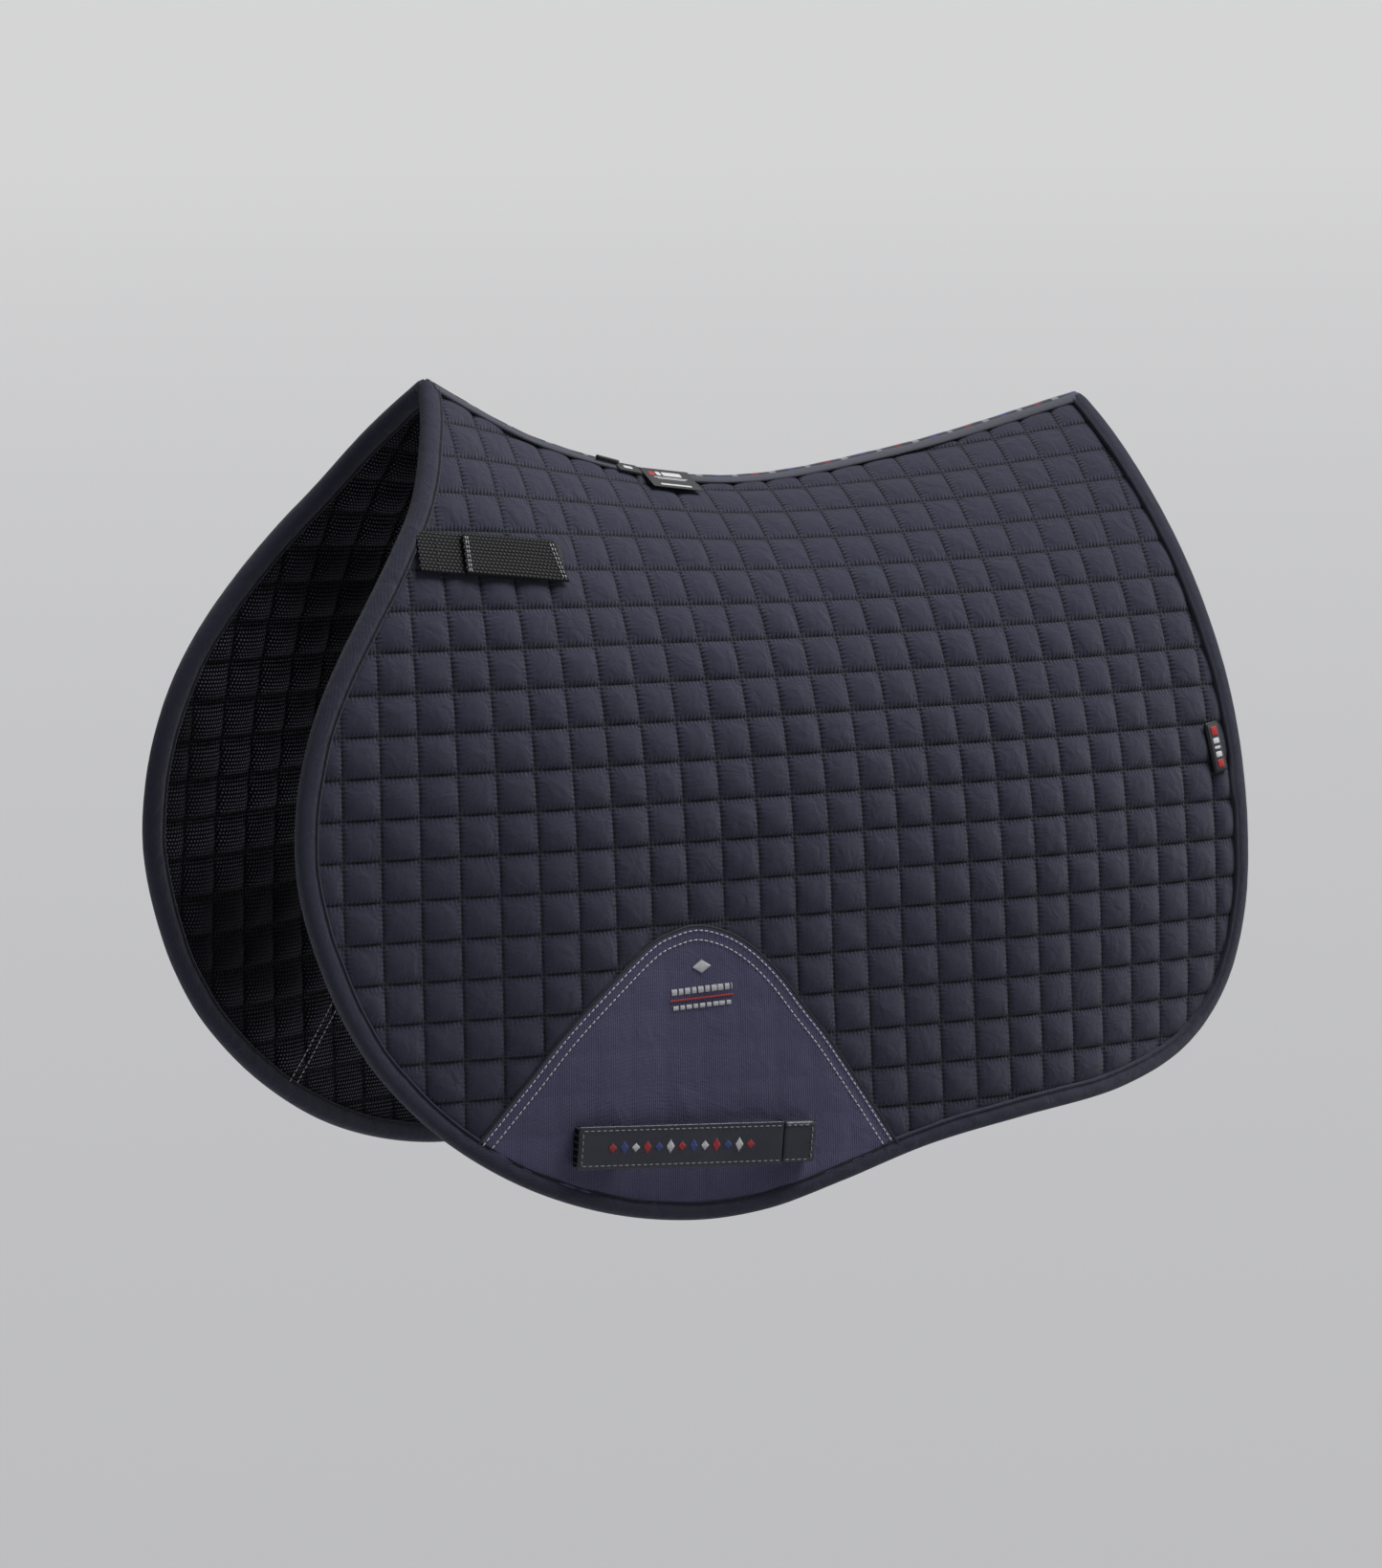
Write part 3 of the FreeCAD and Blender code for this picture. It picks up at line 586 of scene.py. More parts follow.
def even_line(line, spacing):
    """The (x, run) line again, at even steps over the cloth, and how far along each step lies."""
    far = far_along(on_drape(*line.T))
    at = np.linspace(0, far[-1], max(2, int(round(far[-1] / spacing)) + 1))
    return np.stack([np.interp(at, far, line[:, k]) for k in (0, 1)], -1), at


def wavy(at, salt, *lengths):
    """A steady waver along a length, built from a few wavelengths."""
    return sum(np.sin(at * 6.2832 / w + salt * 1.7 * (k + 1)) for k, w in enumerate(lengths)) / len(lengths)


edge_even, edge_at = even_line(EDGE_LINE, 0.003)
edge_in = inward_steps(edge_even)
if np.median((edge_in * (np.array([[0, 0.25]]) - edge_even)).sum(1)) < 0:
    edge_in = -edge_in


def folded_tape(fold, ripple):
    """Rings of a tape folded over the edge: fold gives (inset, lift) round its section."""
    rings = []
    for k, (inset, lift) in enumerate(fold):
        sway = 0.00035 * wavy(edge_at, 1 + (k < 10), 0.043, 0.071, 0.113)
        pinch = ripple * wavy(edge_at + inset * 0.8, 3 + 2 * (k < 10), 0.0105, 0.0163, 0.0243)
        pinch = pinch * math.sin(min(1, inset / 0.0134) * math.pi) * (1 if lift > -0.004 else -1)
        spot = edge_even + edge_in * (inset + sway * (inset > 0.006))[:, None]
        spot[:, 1] = np.maximum(spot[:, 1], 0.0005)
        rings.append(on_drape(*spot.T, lift + pinch))
    return np.stack(rings, 1)


def tube_faces(rows, columns, closed=True):
    """Quads of a skin over a grid of points, closed round its columns."""
    i, j = np.meshgrid(np.arange(rows - 1), np.arange(columns if closed else columns - 1), indexing="ij")
    i, j = i.ravel(), j.ravel()
    k = (j + 1) % columns
    return np.stack([i * columns + j, i * columns + k, (i + 1) * columns + k, (i + 1) * columns + j], -1)


def capped_tube(name, rings, material, cloth=None, mirrored=False):
    """A closed piece skinned over rings of points, with a flat cap at each end."""
    rows, columns = rings.shape[:2]
    caps = np.array([np.arange(columns)[::-1], np.arange((rows - 1) * columns, rows * columns)])
    return sewn_mesh(name, rings.reshape(-1, 3), [tube_faces(rows, columns), caps], material, cloth,
                     mirrored)


def cloth_grid(along_cloth, across_cloth):
    """Flat places of a tube's points, from how far along and how far round each lies."""
    return np.stack(np.broadcast_arrays(along_cloth[:, None], across_cloth[None, :]), -1).reshape(-1, 2)


def binding_tape():
    material, tree, shader = cloth_material("navy bias tape")
    cloth = cloth_place(tree)
    weave = use(tree, TWILL, Place=cloth, Pitch=0.0009, Lean=0.45, Slub=0.3)
    worn = use(tree, HANDLED, Place=object_place(tree), Size=120.0)
    base = ramp(tree, weave["Shade"], [(0.0, (0.020, 0.021, 0.034)), (1.0, (0.050, 0.052, 0.084))])
    # Painted shade: a dark line laid over the topstitch groove near the tape's inner edge.
    off = sums(tree, "SUBTRACT", sums(tree, "ABSOLUTE", parts(tree, cloth)[1]), 0.0150)
    line = eased(tree, sums(tree, "ABSOLUTE", off), 0.0004, 0.0011, 1.0, 0.0)
    surface(tree, shader, base, [(line, 0.75, (0.005, 0.005, 0.008))],
            [(worn["Crease"], 0.0012), (weave["Height"], 0.0001)], 0.68, 0.15, 0.18, 0.4)
    return material


BIAS_TAPE = binding_tape()
fold_at = far_along(np.array(BINDING_FOLD))
fold_at -= fold_at[10]
inside_fold = [(0.0125, -0.0055), (0.0060, -0.0050), (0.0015, -0.0040), (0.0060, -0.0030),
               (0.0125, -0.0028)]
rings = np.concatenate([folded_tape(BINDING_FOLD, 0.00035), folded_tape(inside_fold, 0)], 1)
cloth = cloth_grid(edge_at, np.concatenate([fold_at, np.linspace(0.02, 0.01, len(inside_fold))]))
for side, back in SIDES:
    tape = sewn_mesh(f"{side}_binding", rings.reshape(-1, 3), tube_faces(*rings.shape[:2]), BIAS_TAPE,
                     cloth, back)
    over_spine(tape, f"{side}_edge_binding")

# ---------------------------------------------------------------- rub patches
# A bell of smooth ribbed cloth where the rider's leg and the girth rub, sewn over the quilting with
# a thin dark piped edge and two rows of white thread. The hem binding closes it along the bottom.
BELL_COLUMNS, BELL_ROWS = 150, 70
ROW_INSETS = (0.0028, 0.0088)
WHITE_STITCH = (0.0027, 0.0011, 0.0008)


def ribbed_cloth():
    material, tree, shader = cloth_material("ribbed rub cloth")
    cloth = cloth_place(tree)
    worn = use(tree, HANDLED, Place=object_place(tree), Size=38.0)
    weave = use(tree, TWILL, Place=cloth, Pitch=0.0008, Lean=0.2, Slub=0.6)
    rib = sums(tree, "PINGPONG", sums(tree, "DIVIDE", parts(tree, cloth)[0], 0.0015), 0.5)
    rib = eased(tree, rib, 0.08, 0.42)
    tint = sums(tree, "MULTIPLY_ADD", weave["Shade"], 0.45, sums(tree, "MULTIPLY", rib, 0.55))
    base = ramp(tree, tint, [(0.0, (0.050, 0.048, 0.090)), (1.0, (0.130, 0.124, 0.225))])
    surface(tree, shader, base, [(worn["Cloud"], 0.4, (0.068, 0.064, 0.118))],
            [(worn["Crease"], 0.0035), (rib, 0.00018), (weave["Height"], 0.00008)],
            0.74, 0.15, 0.15, 0.4)
    return material


def plain_finish(name, colour, roughness, grain_size, grain_depth, sheen=0.0, contrast=0.35):
    """A one-colour finish with its own fine grain, for thread, rubber, piping and print."""
    material, tree, shader = cloth_material(name)
    grain = node(tree, "ShaderNodeTexNoise", {"Vector": object_place(tree), "Scale": grain_size,
                                              "Detail": 3.0}).outputs["Fac"]
    dark = tuple(c * (1 - contrast) for c in colour)
    light = tuple(min(1, c * (1 + contrast)) for c in colour)
    surface(tree, shader, ramp(tree, grain, [(0.3, dark), (0.7, light)]), [], [(grain, grain_depth)],
            roughness, sheen=sheen)
    return material


RIB_CLOTH = ribbed_cloth()
WHITE_THREAD = plain_finish("white thread", (0.62, 0.62, 0.64), 0.55, 2500, 0.0002, 0.2, 0.2)
DARK_THREAD = plain_finish("dark thread", (0.030, 0.031, 0.042), 0.55, 2500, 0.0002, 0.2)
GREY_THREAD = plain_finish("grey thread", (0.20, 0.20, 0.22), 0.5, 2500, 0.0002, 0.2, 0.2)
DARK_PIPING = plain_finish("dark piping", (0.010, 0.010, 0.014), 0.7, 1800, 0.0002, 0.1)
RED_THREAD = plain_finish("red thread", (0.42, 0.020, 0.028), 0.5, 2500, 0.0002, 0.2, 0.2)
BLUE_THREAD = plain_finish("blue thread", (0.035, 0.060, 0.240), 0.5, 2500, 0.0002, 0.2, 0.2)


def thread_rows(name, lines, stitch, gap, thick, material, mirrored=False):
    """Rows of stitches lying on the cloth: each dips in at both ends. lines are (points, outward).
    With no stitch length, each line is one long thread."""
    tops = []
    turn = np.linspace(0, 2 * np.pi, 6)[:-1]
    shares = np.array([0.0, 0.16, 0.5, 0.84, 1.0])
    size = np.array([0.35, 0.9, 1.0, 0.9, 0.35]) * thick / 2
    rise = np.array([-0.5, 0.45, 0.75, 0.45, -0.5]) * thick / 2
    for points, outward in lines:
        points, outward = np.asarray(points, float), np.asarray(outward, float)
        far = far_along(points)
        reach = stitch or far[-1]
        starts = np.arange(0.3 * gap, far[-1] - reach, reach + gap) if stitch else np.zeros(1)
        at = starts[:, None] + shares * reach
        spots = np.stack([np.interp(at, far, points[:, k]) for k in range(3)], -1)
        out = unit(np.stack([np.interp(starts, far, outward[:, k]) for k in range(3)], -1))
        across = np.cross(unit(spots[:, -1] - spots[:, 0]), out)
        ring = (np.cos(turn)[None, None, :, None] * across[:, None, None, :]
                + 0.8 * np.sin(turn)[None, None, :, None] * out[:, None, None, :])
        ring = spots[:, :, None, :] + size[None, :, None, None] * ring
        tops.append((ring + (rise[None, :, None] * out[:, None, :])[:, :, None, :]).reshape(-1, 3))
    tops = np.concatenate(tops)
    base = np.arange(0, len(tops), 25)
    sides = (tube_faces(5, 5)[None] + base[:, None, None]).reshape(-1, 4)
    ends = np.concatenate([np.arange(4, -1, -1) + base[:, None], np.arange(20, 25) + base[:, None]])
    return sewn_mesh(name, tops, [sides, ends], material, None, mirrored)


def corded(name, points, outward, radius, material, mirrored=False):
    """A round cord or piping along points."""
    across = np.cross(unit(np.gradient(points, axis=0)), outward)
    turn = np.linspace(0, 2 * np.pi, 9)[:-1]
    ring = points[:, None] + radius * (np.cos(turn)[None, :, None] * across[:, None]
                                       + np.sin(turn)[None, :, None] * outward[:, None])
    return capped_tube(name, ring, material, None, mirrored)


hem = EDGE_LINE[np.argmin(EDGE_LINE[:, 0]):]
hem = hem[:np.argmax(hem[:, 0] > 0.1)]
above_hem = PATCH_EDGE[:, 1] < np.interp(PATCH_EDGE[:, 0], hem[:, 0], hem[:, 1]) - 0.006
patch_line = PATCH_EDGE[above_hem]
patch_x = np.linspace(patch_line[0, 0], patch_line[-1, 0], BELL_COLUMNS)
patch_top = np.interp(patch_x, PATCH_EDGE[:, 0], PATCH_EDGE[:, 1])
patch_foot = np.maximum(np.interp(patch_x, hem[:, 0], hem[:, 1]) - 0.004, patch_top + 0.0008)
share = np.linspace(0, 1, BELL_ROWS)
patch_run = patch_top[:, None] + (patch_foot - patch_top)[:, None] * share
patch_at = np.repeat(patch_x[:, None], BELL_ROWS, 1)
column = COLUMN_AT_MIDDLE + COLUMNS_PER_METRE * patch_at
row = (patch_run - row_zero(patch_at)) / INCH
show = (np.abs(np.sin(np.pi * column)) * np.abs(np.sin(np.pi * row)))**0.5
inset = np.minimum((patch_run - patch_top[:, None]), 0.03)
patch_lift = 0.0010 + 0.00055 * show * near_smooth(inset, 0.008, 0.02)
slack = 0.0007 * wavy(patch_at + 0.4 * patch_run, 2, 0.061, 0.097)
patch_lift += slack * near_smooth(inset, 0.01, 0.03) * 0.4
hem_ease = near_smooth(patch_foot[:, None] - patch_run, 0.0, 0.014)
patch_lift = patch_lift * hem_ease + 0.0001 * (1 - hem_ease)
piping_line = even_line(patch_line, 0.0025)[0]
piping_points, piping_out = on_drape(*piping_line.T, 0.0007), read_drape(DRAPE_OUT, *piping_line.T)
patch_in = inward_steps(piping_line)
if patch_in[len(patch_in) // 2, 1] < 0:
    patch_in = -patch_in


def patch_row(inset, lift):
    """A line inset from the bell's edge, and its outward ways, stopped at the hem binding."""
    spot = piping_line + patch_in * inset
    spot = spot[spot[:, 1] < np.interp(spot[:, 0], hem[:, 0], hem[:, 1]) - 0.012]
    return on_drape(*spot.T, lift), read_drape(DRAPE_OUT, *spot.T)


def carried(piece, body, part=None):
    """Hide the part a piece stands for, if there is one, and attach the piece to the body it moves with."""
    if part:
        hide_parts(part)
    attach(piece, body)


n = patch_at.size
lower = tube_faces(BELL_COLUMNS, BELL_ROWS, closed=False)[:, ::-1]
rim = np.concatenate([np.arange(BELL_ROWS), np.arange(2, BELL_COLUMNS) * BELL_ROWS - 1,
                      np.arange(n - 1, n - BELL_ROWS - 1, -1),
                      np.arange(BELL_COLUMNS - 2, 0, -1) * BELL_ROWS])
walls = np.stack([np.roll(rim, -1), rim, rim + n, np.roll(rim, -1) + n], -1)
bell_points = np.concatenate([on_drape(patch_at, patch_run, lift).reshape(-1, 3)
                              for lift in (patch_lift, np.full(patch_run.shape, -0.0002))])
bell_faces = np.concatenate([lower[:, ::-1], lower + n, walls[:, ::-1]])
bell_cloth = np.tile(np.stack([patch_at, patch_run], -1).reshape(-1, 2), (2, 1))
outer_rows = [patch_row(i, 0.0013) for i in ROW_INSETS]
inner_rows = [(p, -o) for p, o in (patch_row(i, -0.0088) for i in ROW_INSETS)]
for side, back in SIDES:
    half = f"{side}_half"
    patch = sewn_mesh(f"{side}_rub_bell", bell_points, bell_faces, RIB_CLOTH, bell_cloth, back)
    carried(patch, half, f"{side}_rub_patch")
    edge = corded(f"{side}_rub_piping", piping_points, piping_out, 0.0008, DARK_PIPING, back)
    carried(edge, half)
    for name, rows, slot in (("rub_stitches", outer_rows, "rub_cloth"),
                             ("rub_stitches_inside", inner_rows, "lining_mesh")):
        stitches = thread_rows(f"{side}_{name}", rows, *WHITE_STITCH, WHITE_THREAD, back)
        carried(stitches, half)

# Plain embroidery at the top of each bell: a diamond over two bars and a fine red line.
EMBROIDERY_X, EMBROIDERY_DROP = -0.0790, 0.0235
EMBROIDERY = [(-0.2540, 0.013, 0.0090, "diamond", WHITE_THREAD),
              (-0.2685, 0.042, 0.0042, "bar", WHITE_THREAD),
              (-0.2738, 0.044, 0.0013, "bar", RED_THREAD),
              (-0.2786, 0.040, 0.0030, "bar", WHITE_THREAD)]


def satin(name, x, z, width, height, shape, material, mirrored):
    """A satin-stitched shape: close threads laid side by side down the cloth."""
    lines = []
    for at in np.arange(-width / 2, width / 2, 0.00062):
        tall = height / 2 * (1 - abs(at) / (width / 2) if shape == "diamond" else 1)
        if tall < 0.0003 or (height > 0.002 and shape == "bar" and (at + width / 2) % 0.0046 > 0.0034):
            continue
        down = run_to(np.array([x + at, x + at]), np.array([z + tall, z - tall]))
        spot = np.array([x + at, x + at + 0.0002])
        lines.append((on_drape(spot, down, 0.0015), read_drape(DRAPE_OUT, spot, down)))
    return thread_rows(name, lines, None, 0, 0.0007, material, mirrored)


for side, back in SIDES:
    for k, (z, width, height, shape, thread) in enumerate(EMBROIDERY):
        mark = satin(f"{side}_embroidery_{k}", EMBROIDERY_X, z - EMBROIDERY_DROP, width, height, shape,
                     thread, back)
        carried(mark, f"{side}_half")

# ---------------------------------------------------------------- spine seam
# The halves meet in a piped seam under a narrow woven ribbon. A grey-navy tape covers the raw edge
# on each side of it, and a facing tape does the same against the horse.


def flat_tape(name, fold, x_from, x_to, material, mirrored):
    """A closed strip of tape beside the spine: fold gives (run, lift) round its section."""
    at = np.arange(x_from, x_to + 0.001, 0.003)
    rings = np.stack([on_drape(at, np.full(len(at), run), lift + 0.00012 * wavy(at, run * 900, 0.037, 0.053))
                      for run, lift in fold], 1)
    return capped_tube(name, rings, material, cloth_grid(at, far_along(np.array(fold))), mirrored)


def woven_tape():
    material, tree, shader = cloth_material("grey-navy woven tape")
    weave = use(tree, TWILL, Place=cloth_place(tree), Pitch=0.0010, Lean=0.6, Slub=0.4)
    base = ramp(tree, weave["Shade"], [(0.0, (0.026, 0.028, 0.045)), (1.0, (0.066, 0.070, 0.105))])
    surface(tree, shader, base, [], [(weave["Height"], 0.00012)], 0.72, sheen=0.3)
    return material


def dashed_ribbon():
    material, tree, shader = cloth_material("woven ribbon with dashes")
    place = object_place(tree)
    step = sums(tree, "FRACT", sums(tree, "DIVIDE", parts(tree, place)[0], 0.058))
    navy = (0.030, 0.034, 0.070)
    dashes = ramp(tree, step, [(0.0, navy), (0.10, (0.28, 0.02, 0.03)), (0.19, navy),
                               (0.34, (0.36, 0.37, 0.41)), (0.43, navy), (0.60, (0.04, 0.07, 0.28)),
                               (0.69, navy), (0.84, (0.34, 0.35, 0.39)), (0.91, navy)], "CONSTANT")
    weave = use(tree, TWILL, Place=place, Pitch=0.0009, Lean=0.0, Slub=0.3)
    surface(tree, shader, dashes, [(weave["Shade"], 0.45, (0.03, 0.03, 0.05))],
            [(weave["Height"], 0.00012)], 0.6, sheen=0.2)
    return material


GREY_TAPE, RIBBON = woven_tape(), dashed_ribbon()
spine_front, spine_rear = EDGE_LINE[0, 0] + 0.004, EDGE_LINE[-1, 0] - 0.004
TAPE_FOLD = [(0.0013, 0.0002), (0.0013, 0.0012), (0.0022, 0.0016), (0.0040, 0.0015),
             (0.0060, 0.0013), (0.0078, 0.0011), (0.0089, 0.0006), (0.0090, -0.0004)]
FACING_FOLD = [(0.0013, -0.0082), (0.0070, -0.0070), (0.0070, -0.0088), (0.0062, -0.0094),
               (0.0040, -0.0096), (0.0022, -0.0095), (0.0013, -0.0090)]
for side, back in SIDES:
    for kind, fold, material, slot in (("spine_tape", TAPE_FOLD, GREY_TAPE, "spine_tape"),
                                       ("seam_facing", FACING_FOLD, BIAS_TAPE, "binding_tape")):
        strip = flat_tape(f"{side}_{kind}_strip", fold, spine_front, spine_rear, material, back)
        over_spine(strip, f"{side}_{kind}")
ribbon_x = np.arange(spine_front, spine_rear, 0.003)
crown_z = along(SPINE_Z, ribbon_x) - np.sin(np.radians(along(CROWN_ANGLE, ribbon_x))) * CROWN_ROUND / 2
piping_y = np.array([0.0009, 0.0007, 0, -0.0007, -0.0009, -0.0009, -0.0006, 0.0006, 0.0009])
piping_z = np.array([0.0001, 0.0005, 0.0007, 0.0005, 0.0001, -0.0090, -0.0096, -0.0096, -0.0090])
rings = np.stack(np.broadcast_arrays(ribbon_x[:, None], piping_y[None], crown_z[:, None] + piping_z), -1)
piping = capped_tube("crown_piping", rings, DARK_PIPING)
carried(piping, "spine", "spine_piping")
ribbon_y = np.array([-0.0022, -0.0020, 0, 0.0020, 0.0022, 0.0018, 0, -0.0018])
ribbon_z = np.array([0.0013, 0.0020, 0.0023, 0.0020, 0.0013, 0.0011, 0.0012, 0.0011])
rings = np.stack(np.broadcast_arrays(ribbon_x[:, None], ribbon_y[None], crown_z[:, None]
                                     + ribbon_z + 0.0001 * wavy(ribbon_x, 1, 0.031)[:, None]), -1)
ribbon = capped_tube("crown_ribbon", rings, RIBBON, rings[..., :2].reshape(-1, 2))
carried(ribbon, "spine", "spine_ribbon")

# ---------------------------------------------------------------- front straps
# Black nylon webbing sewn under the front binding, with loop pile on its face. A second piece of
# webbing folds over it, closes with hook tape and ends in a cut and stitched tip.


def lie_of(name):
    """Where a flat sewn piece lies: its middle, its rearward, upward and outward ways, half sizes."""
    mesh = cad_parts[name].data
    v = np.array([p.co[:] for p in mesh.vertices])
    areas = [p.area for p in mesh.polygons]
    out = np.array(mesh.polygons[int(np.argmax(areas))].normal)
    centre = v.mean(0)
    out = out if out[1] * centre[1] > 0 else -out
    first = np.array([1.0, 0, 0]) - out * out[0]
    first /= np.linalg.norm(first)
    second = np.cross(out, first)
    best = None
    for angle in np.radians(np.arange(-60, 60, 0.25)):
        a = first * math.cos(angle) + second * math.sin(angle)
        b = np.cross(out, a)
        wide, tall = np.ptp(v @ a), np.ptp(v @ b)
        if best is None or wide * tall < best[0] - 1e-12:
            best = (wide * tall, a, b)
    a, b = best[1], best[2]
    if b[2] < 0:
        b = -b
    low = np.array([(v @ w).min() for w in (a, b, out)])
    high = np.array([(v @ w).max() for w in (a, b, out)])
    mid = (low + high) / 2
    return a * mid[0] + b * mid[1] + out * mid[2], a, b, out, (high - low) / 2


def band(name, lie, material, tip=0.0, wave=0.0002):
    """A strap: a slab with rolled edges and a slight waver, its rear end slanted by tip."""
    centre, ahead, upward, outward, half = lie
    length = int(max(8, half[0] / 0.0012))
    across = np.array([-1, -0.97, -0.9, -0.7, -0.45, -0.15, 0.15, 0.45, 0.7, 0.9, 0.97, 1])
    rise = np.array([0.15, 0.62, 0.94, 1, 1, 0.98, 0.98, 1, 1, 0.94, 0.62, 0.15])
    sheet_y = np.concatenate([across, across[::-1]])
    sheet_z = np.concatenate([rise, -rise[::-1]])
    along_share = np.concatenate([[0, 0.004], np.linspace(0.012, 0.988, length), [0.996, 1.0]])
    fat = np.concatenate([[0.25, 0.8], np.ones(length), [0.8, 0.25]])
    rings = []
    for s, f in zip(along_share, fat):
        reach = 2 * half[0] - tip * (sheet_y * 0.5 + 0.5)
        x = -half[0] + s * reach
        w = wave * wavy(np.array(s * 2 * half[0]), 1, 0.043, 0.067)
        z = half[2] * sheet_z * f + w
        y = half[1] * sheet_y * (1 - 0.004 * (1 - f))
        rings.append(centre + x[:, None] * ahead + y[:, None] * upward + z[:, None] * outward)
    cloth = cloth_grid(along_share * 2 * half[0], half[1] * sheet_y)
    return capped_tube(name, np.stack(rings), material, cloth)


def nylon_webbing():
    material, tree, shader = cloth_material("black nylon webbing")
    split = parts(tree, cloth_place(tree))
    a = sums(tree, "DIVIDE", split[0], 0.0030)
    b = sums(tree, "DIVIDE", split[1], 0.0022)
    shift = sums(tree, "MULTIPLY", sums(tree, "FLOOR", b), 0.5)
    u = sums(tree, "PINGPONG", sums(tree, "ADD", a, shift), 0.5)
    v = sums(tree, "PINGPONG", b, 0.5)
    knot = sums(tree, "MULTIPLY", sums(tree, "SINE", sums(tree, "MULTIPLY", u, 3.1416)),
                sums(tree, "SINE", sums(tree, "MULTIPLY", v, 3.1416)))
    colour = ramp(tree, knot, [(0.15, (0.002, 0.002, 0.003)), (0.6, (0.007, 0.007, 0.008)),
                               (1.0, (0.070, 0.071, 0.075))])
    surface(tree, shader, colour, [], [(knot, 0.0005)], 0.6, 0.2)
    return material


def pile_tape(name, colour):
    """The fuzz of hook or loop tape."""
    material, tree, shader = cloth_material(name)
    pile = node(tree, "ShaderNodeTexVoronoi", {"Vector": object_place(tree), "Scale": 1400.0})
    pile = pile.outputs["Distance"]
    surface(tree, shader, ramp(tree, pile, [(0.1, colour), (0.8, (0.003, 0.003, 0.004))]), [],
            [(pile, 0.0006)], 0.9, sheen=0.3)
    return material


WEBBING = nylon_webbing()
LOOP_PILE = pile_tape("loop pile", (0.020, 0.020, 0.026))
HOOK_PILE = pile_tape("hook tape", (0.032, 0.032, 0.040))


def strap_rows(name, lie, rows, stitch, gap, thick, material, body):
    """Stitches on a strap: rows are (from_x, from_y, to_x, to_y) in metres from its middle."""
    centre, ahead, upward, outward, half = lie
    lines = []
    for xa, ya, xb, yb in rows:
        ends = [centre + x * ahead + y * upward + (half[2] + 0.00005) * outward
                for x, y in ((xa, ya), (xb, yb))]
        lines.append((np.array(ends), np.array([outward, outward])))
    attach(thread_rows(name, lines, stitch, gap, thick, material), body)


for side in ("near", "off"):
    for kind, body, material, slot, tip in (
            ("front_strap_base", "half", WEBBING, "webbing", 0.0),
            ("front_loop_tape", "half", LOOP_PILE, "loop_tape", 0.0),
            ("front_strap_hook_tape", "front_flap", HOOK_PILE, "hook_tape", 0.0),
            ("front_strap_flap", "front_flap", WEBBING, "webbing", 0.008)):
        lie = lie_of(f"{side}_{kind}")
        if kind == "front_strap_base":
            lie[4][0] += 0.006
            lie = (lie[0] - 0.006 * lie[1], *lie[1:])
        piece = band(f"{side}_{kind}_web", lie, material, tip=tip)
        carried(piece, f"{side}_{body}", f"{side}_{kind}")
        lx, ly = lie[4][0], lie[4][1]
        if kind == "front_strap_flap":
            strap_rows(f"{side}_flap_end_stitches", lie,
                       [(-lx + 0.002, -ly + 0.001, -lx + 0.002, ly - 0.001),
                        (-lx + 0.0035, -ly + 0.001, -lx + 0.0035, ly - 0.001),
                        (lx - 0.0025, -ly + 0.002, lx - 0.0095, ly - 0.002),
                        (lx - 0.0045, -ly + 0.002, lx - 0.0115, ly - 0.002)],
                       0.0022, 0.0008, 0.0007, WHITE_THREAD, f"{side}_{body}")
        if kind == "front_strap_base":
            strap_rows(f"{side}_base_stitches", lie,
                       [(-lx + 0.014, -ly + 0.001, -lx + 0.014, ly - 0.001),
                        (lx - 0.003, -ly + 0.001, lx - 0.003, ly - 0.001)],
                       0.0022, 0.0008, 0.0006, DARK_THREAD, f"{side}_{body}")

# ---------------------------------------------------------------- girth keeper straps
# A navy leather strap that holds the girth: stitched round its edge over a webbing back, sewn into
# the bell at its rear end, and closed with hook tape on a webbing tab at its front end.
STITCH_INSET = 0.0026


def strap_leather():
    material, tree, shader = cloth_material("navy strap leather")
    place = object_place(tree)
    grain = node(tree, "ShaderNodeTexVoronoi", {"Vector": place, "Scale": 1100.0}, feature="F2")
    worn = use(tree, HANDLED, Place=place, Size=55.0)
    colour = ramp(tree, worn["Cloud"], [(0.3, (0.012, 0.013, 0.022)), (0.7, (0.026, 0.028, 0.044))])
    dull = ramp(tree, worn["Crease"], [(0.3, (0.28, 0.28, 0.28)), (0.7, (0.44, 0.44, 0.44))])
    surface(tree, shader, colour, [], [(worn["Crease"], 0.0008), (grain.outputs["Distance"], 0.00012)],
            dull)
    return material


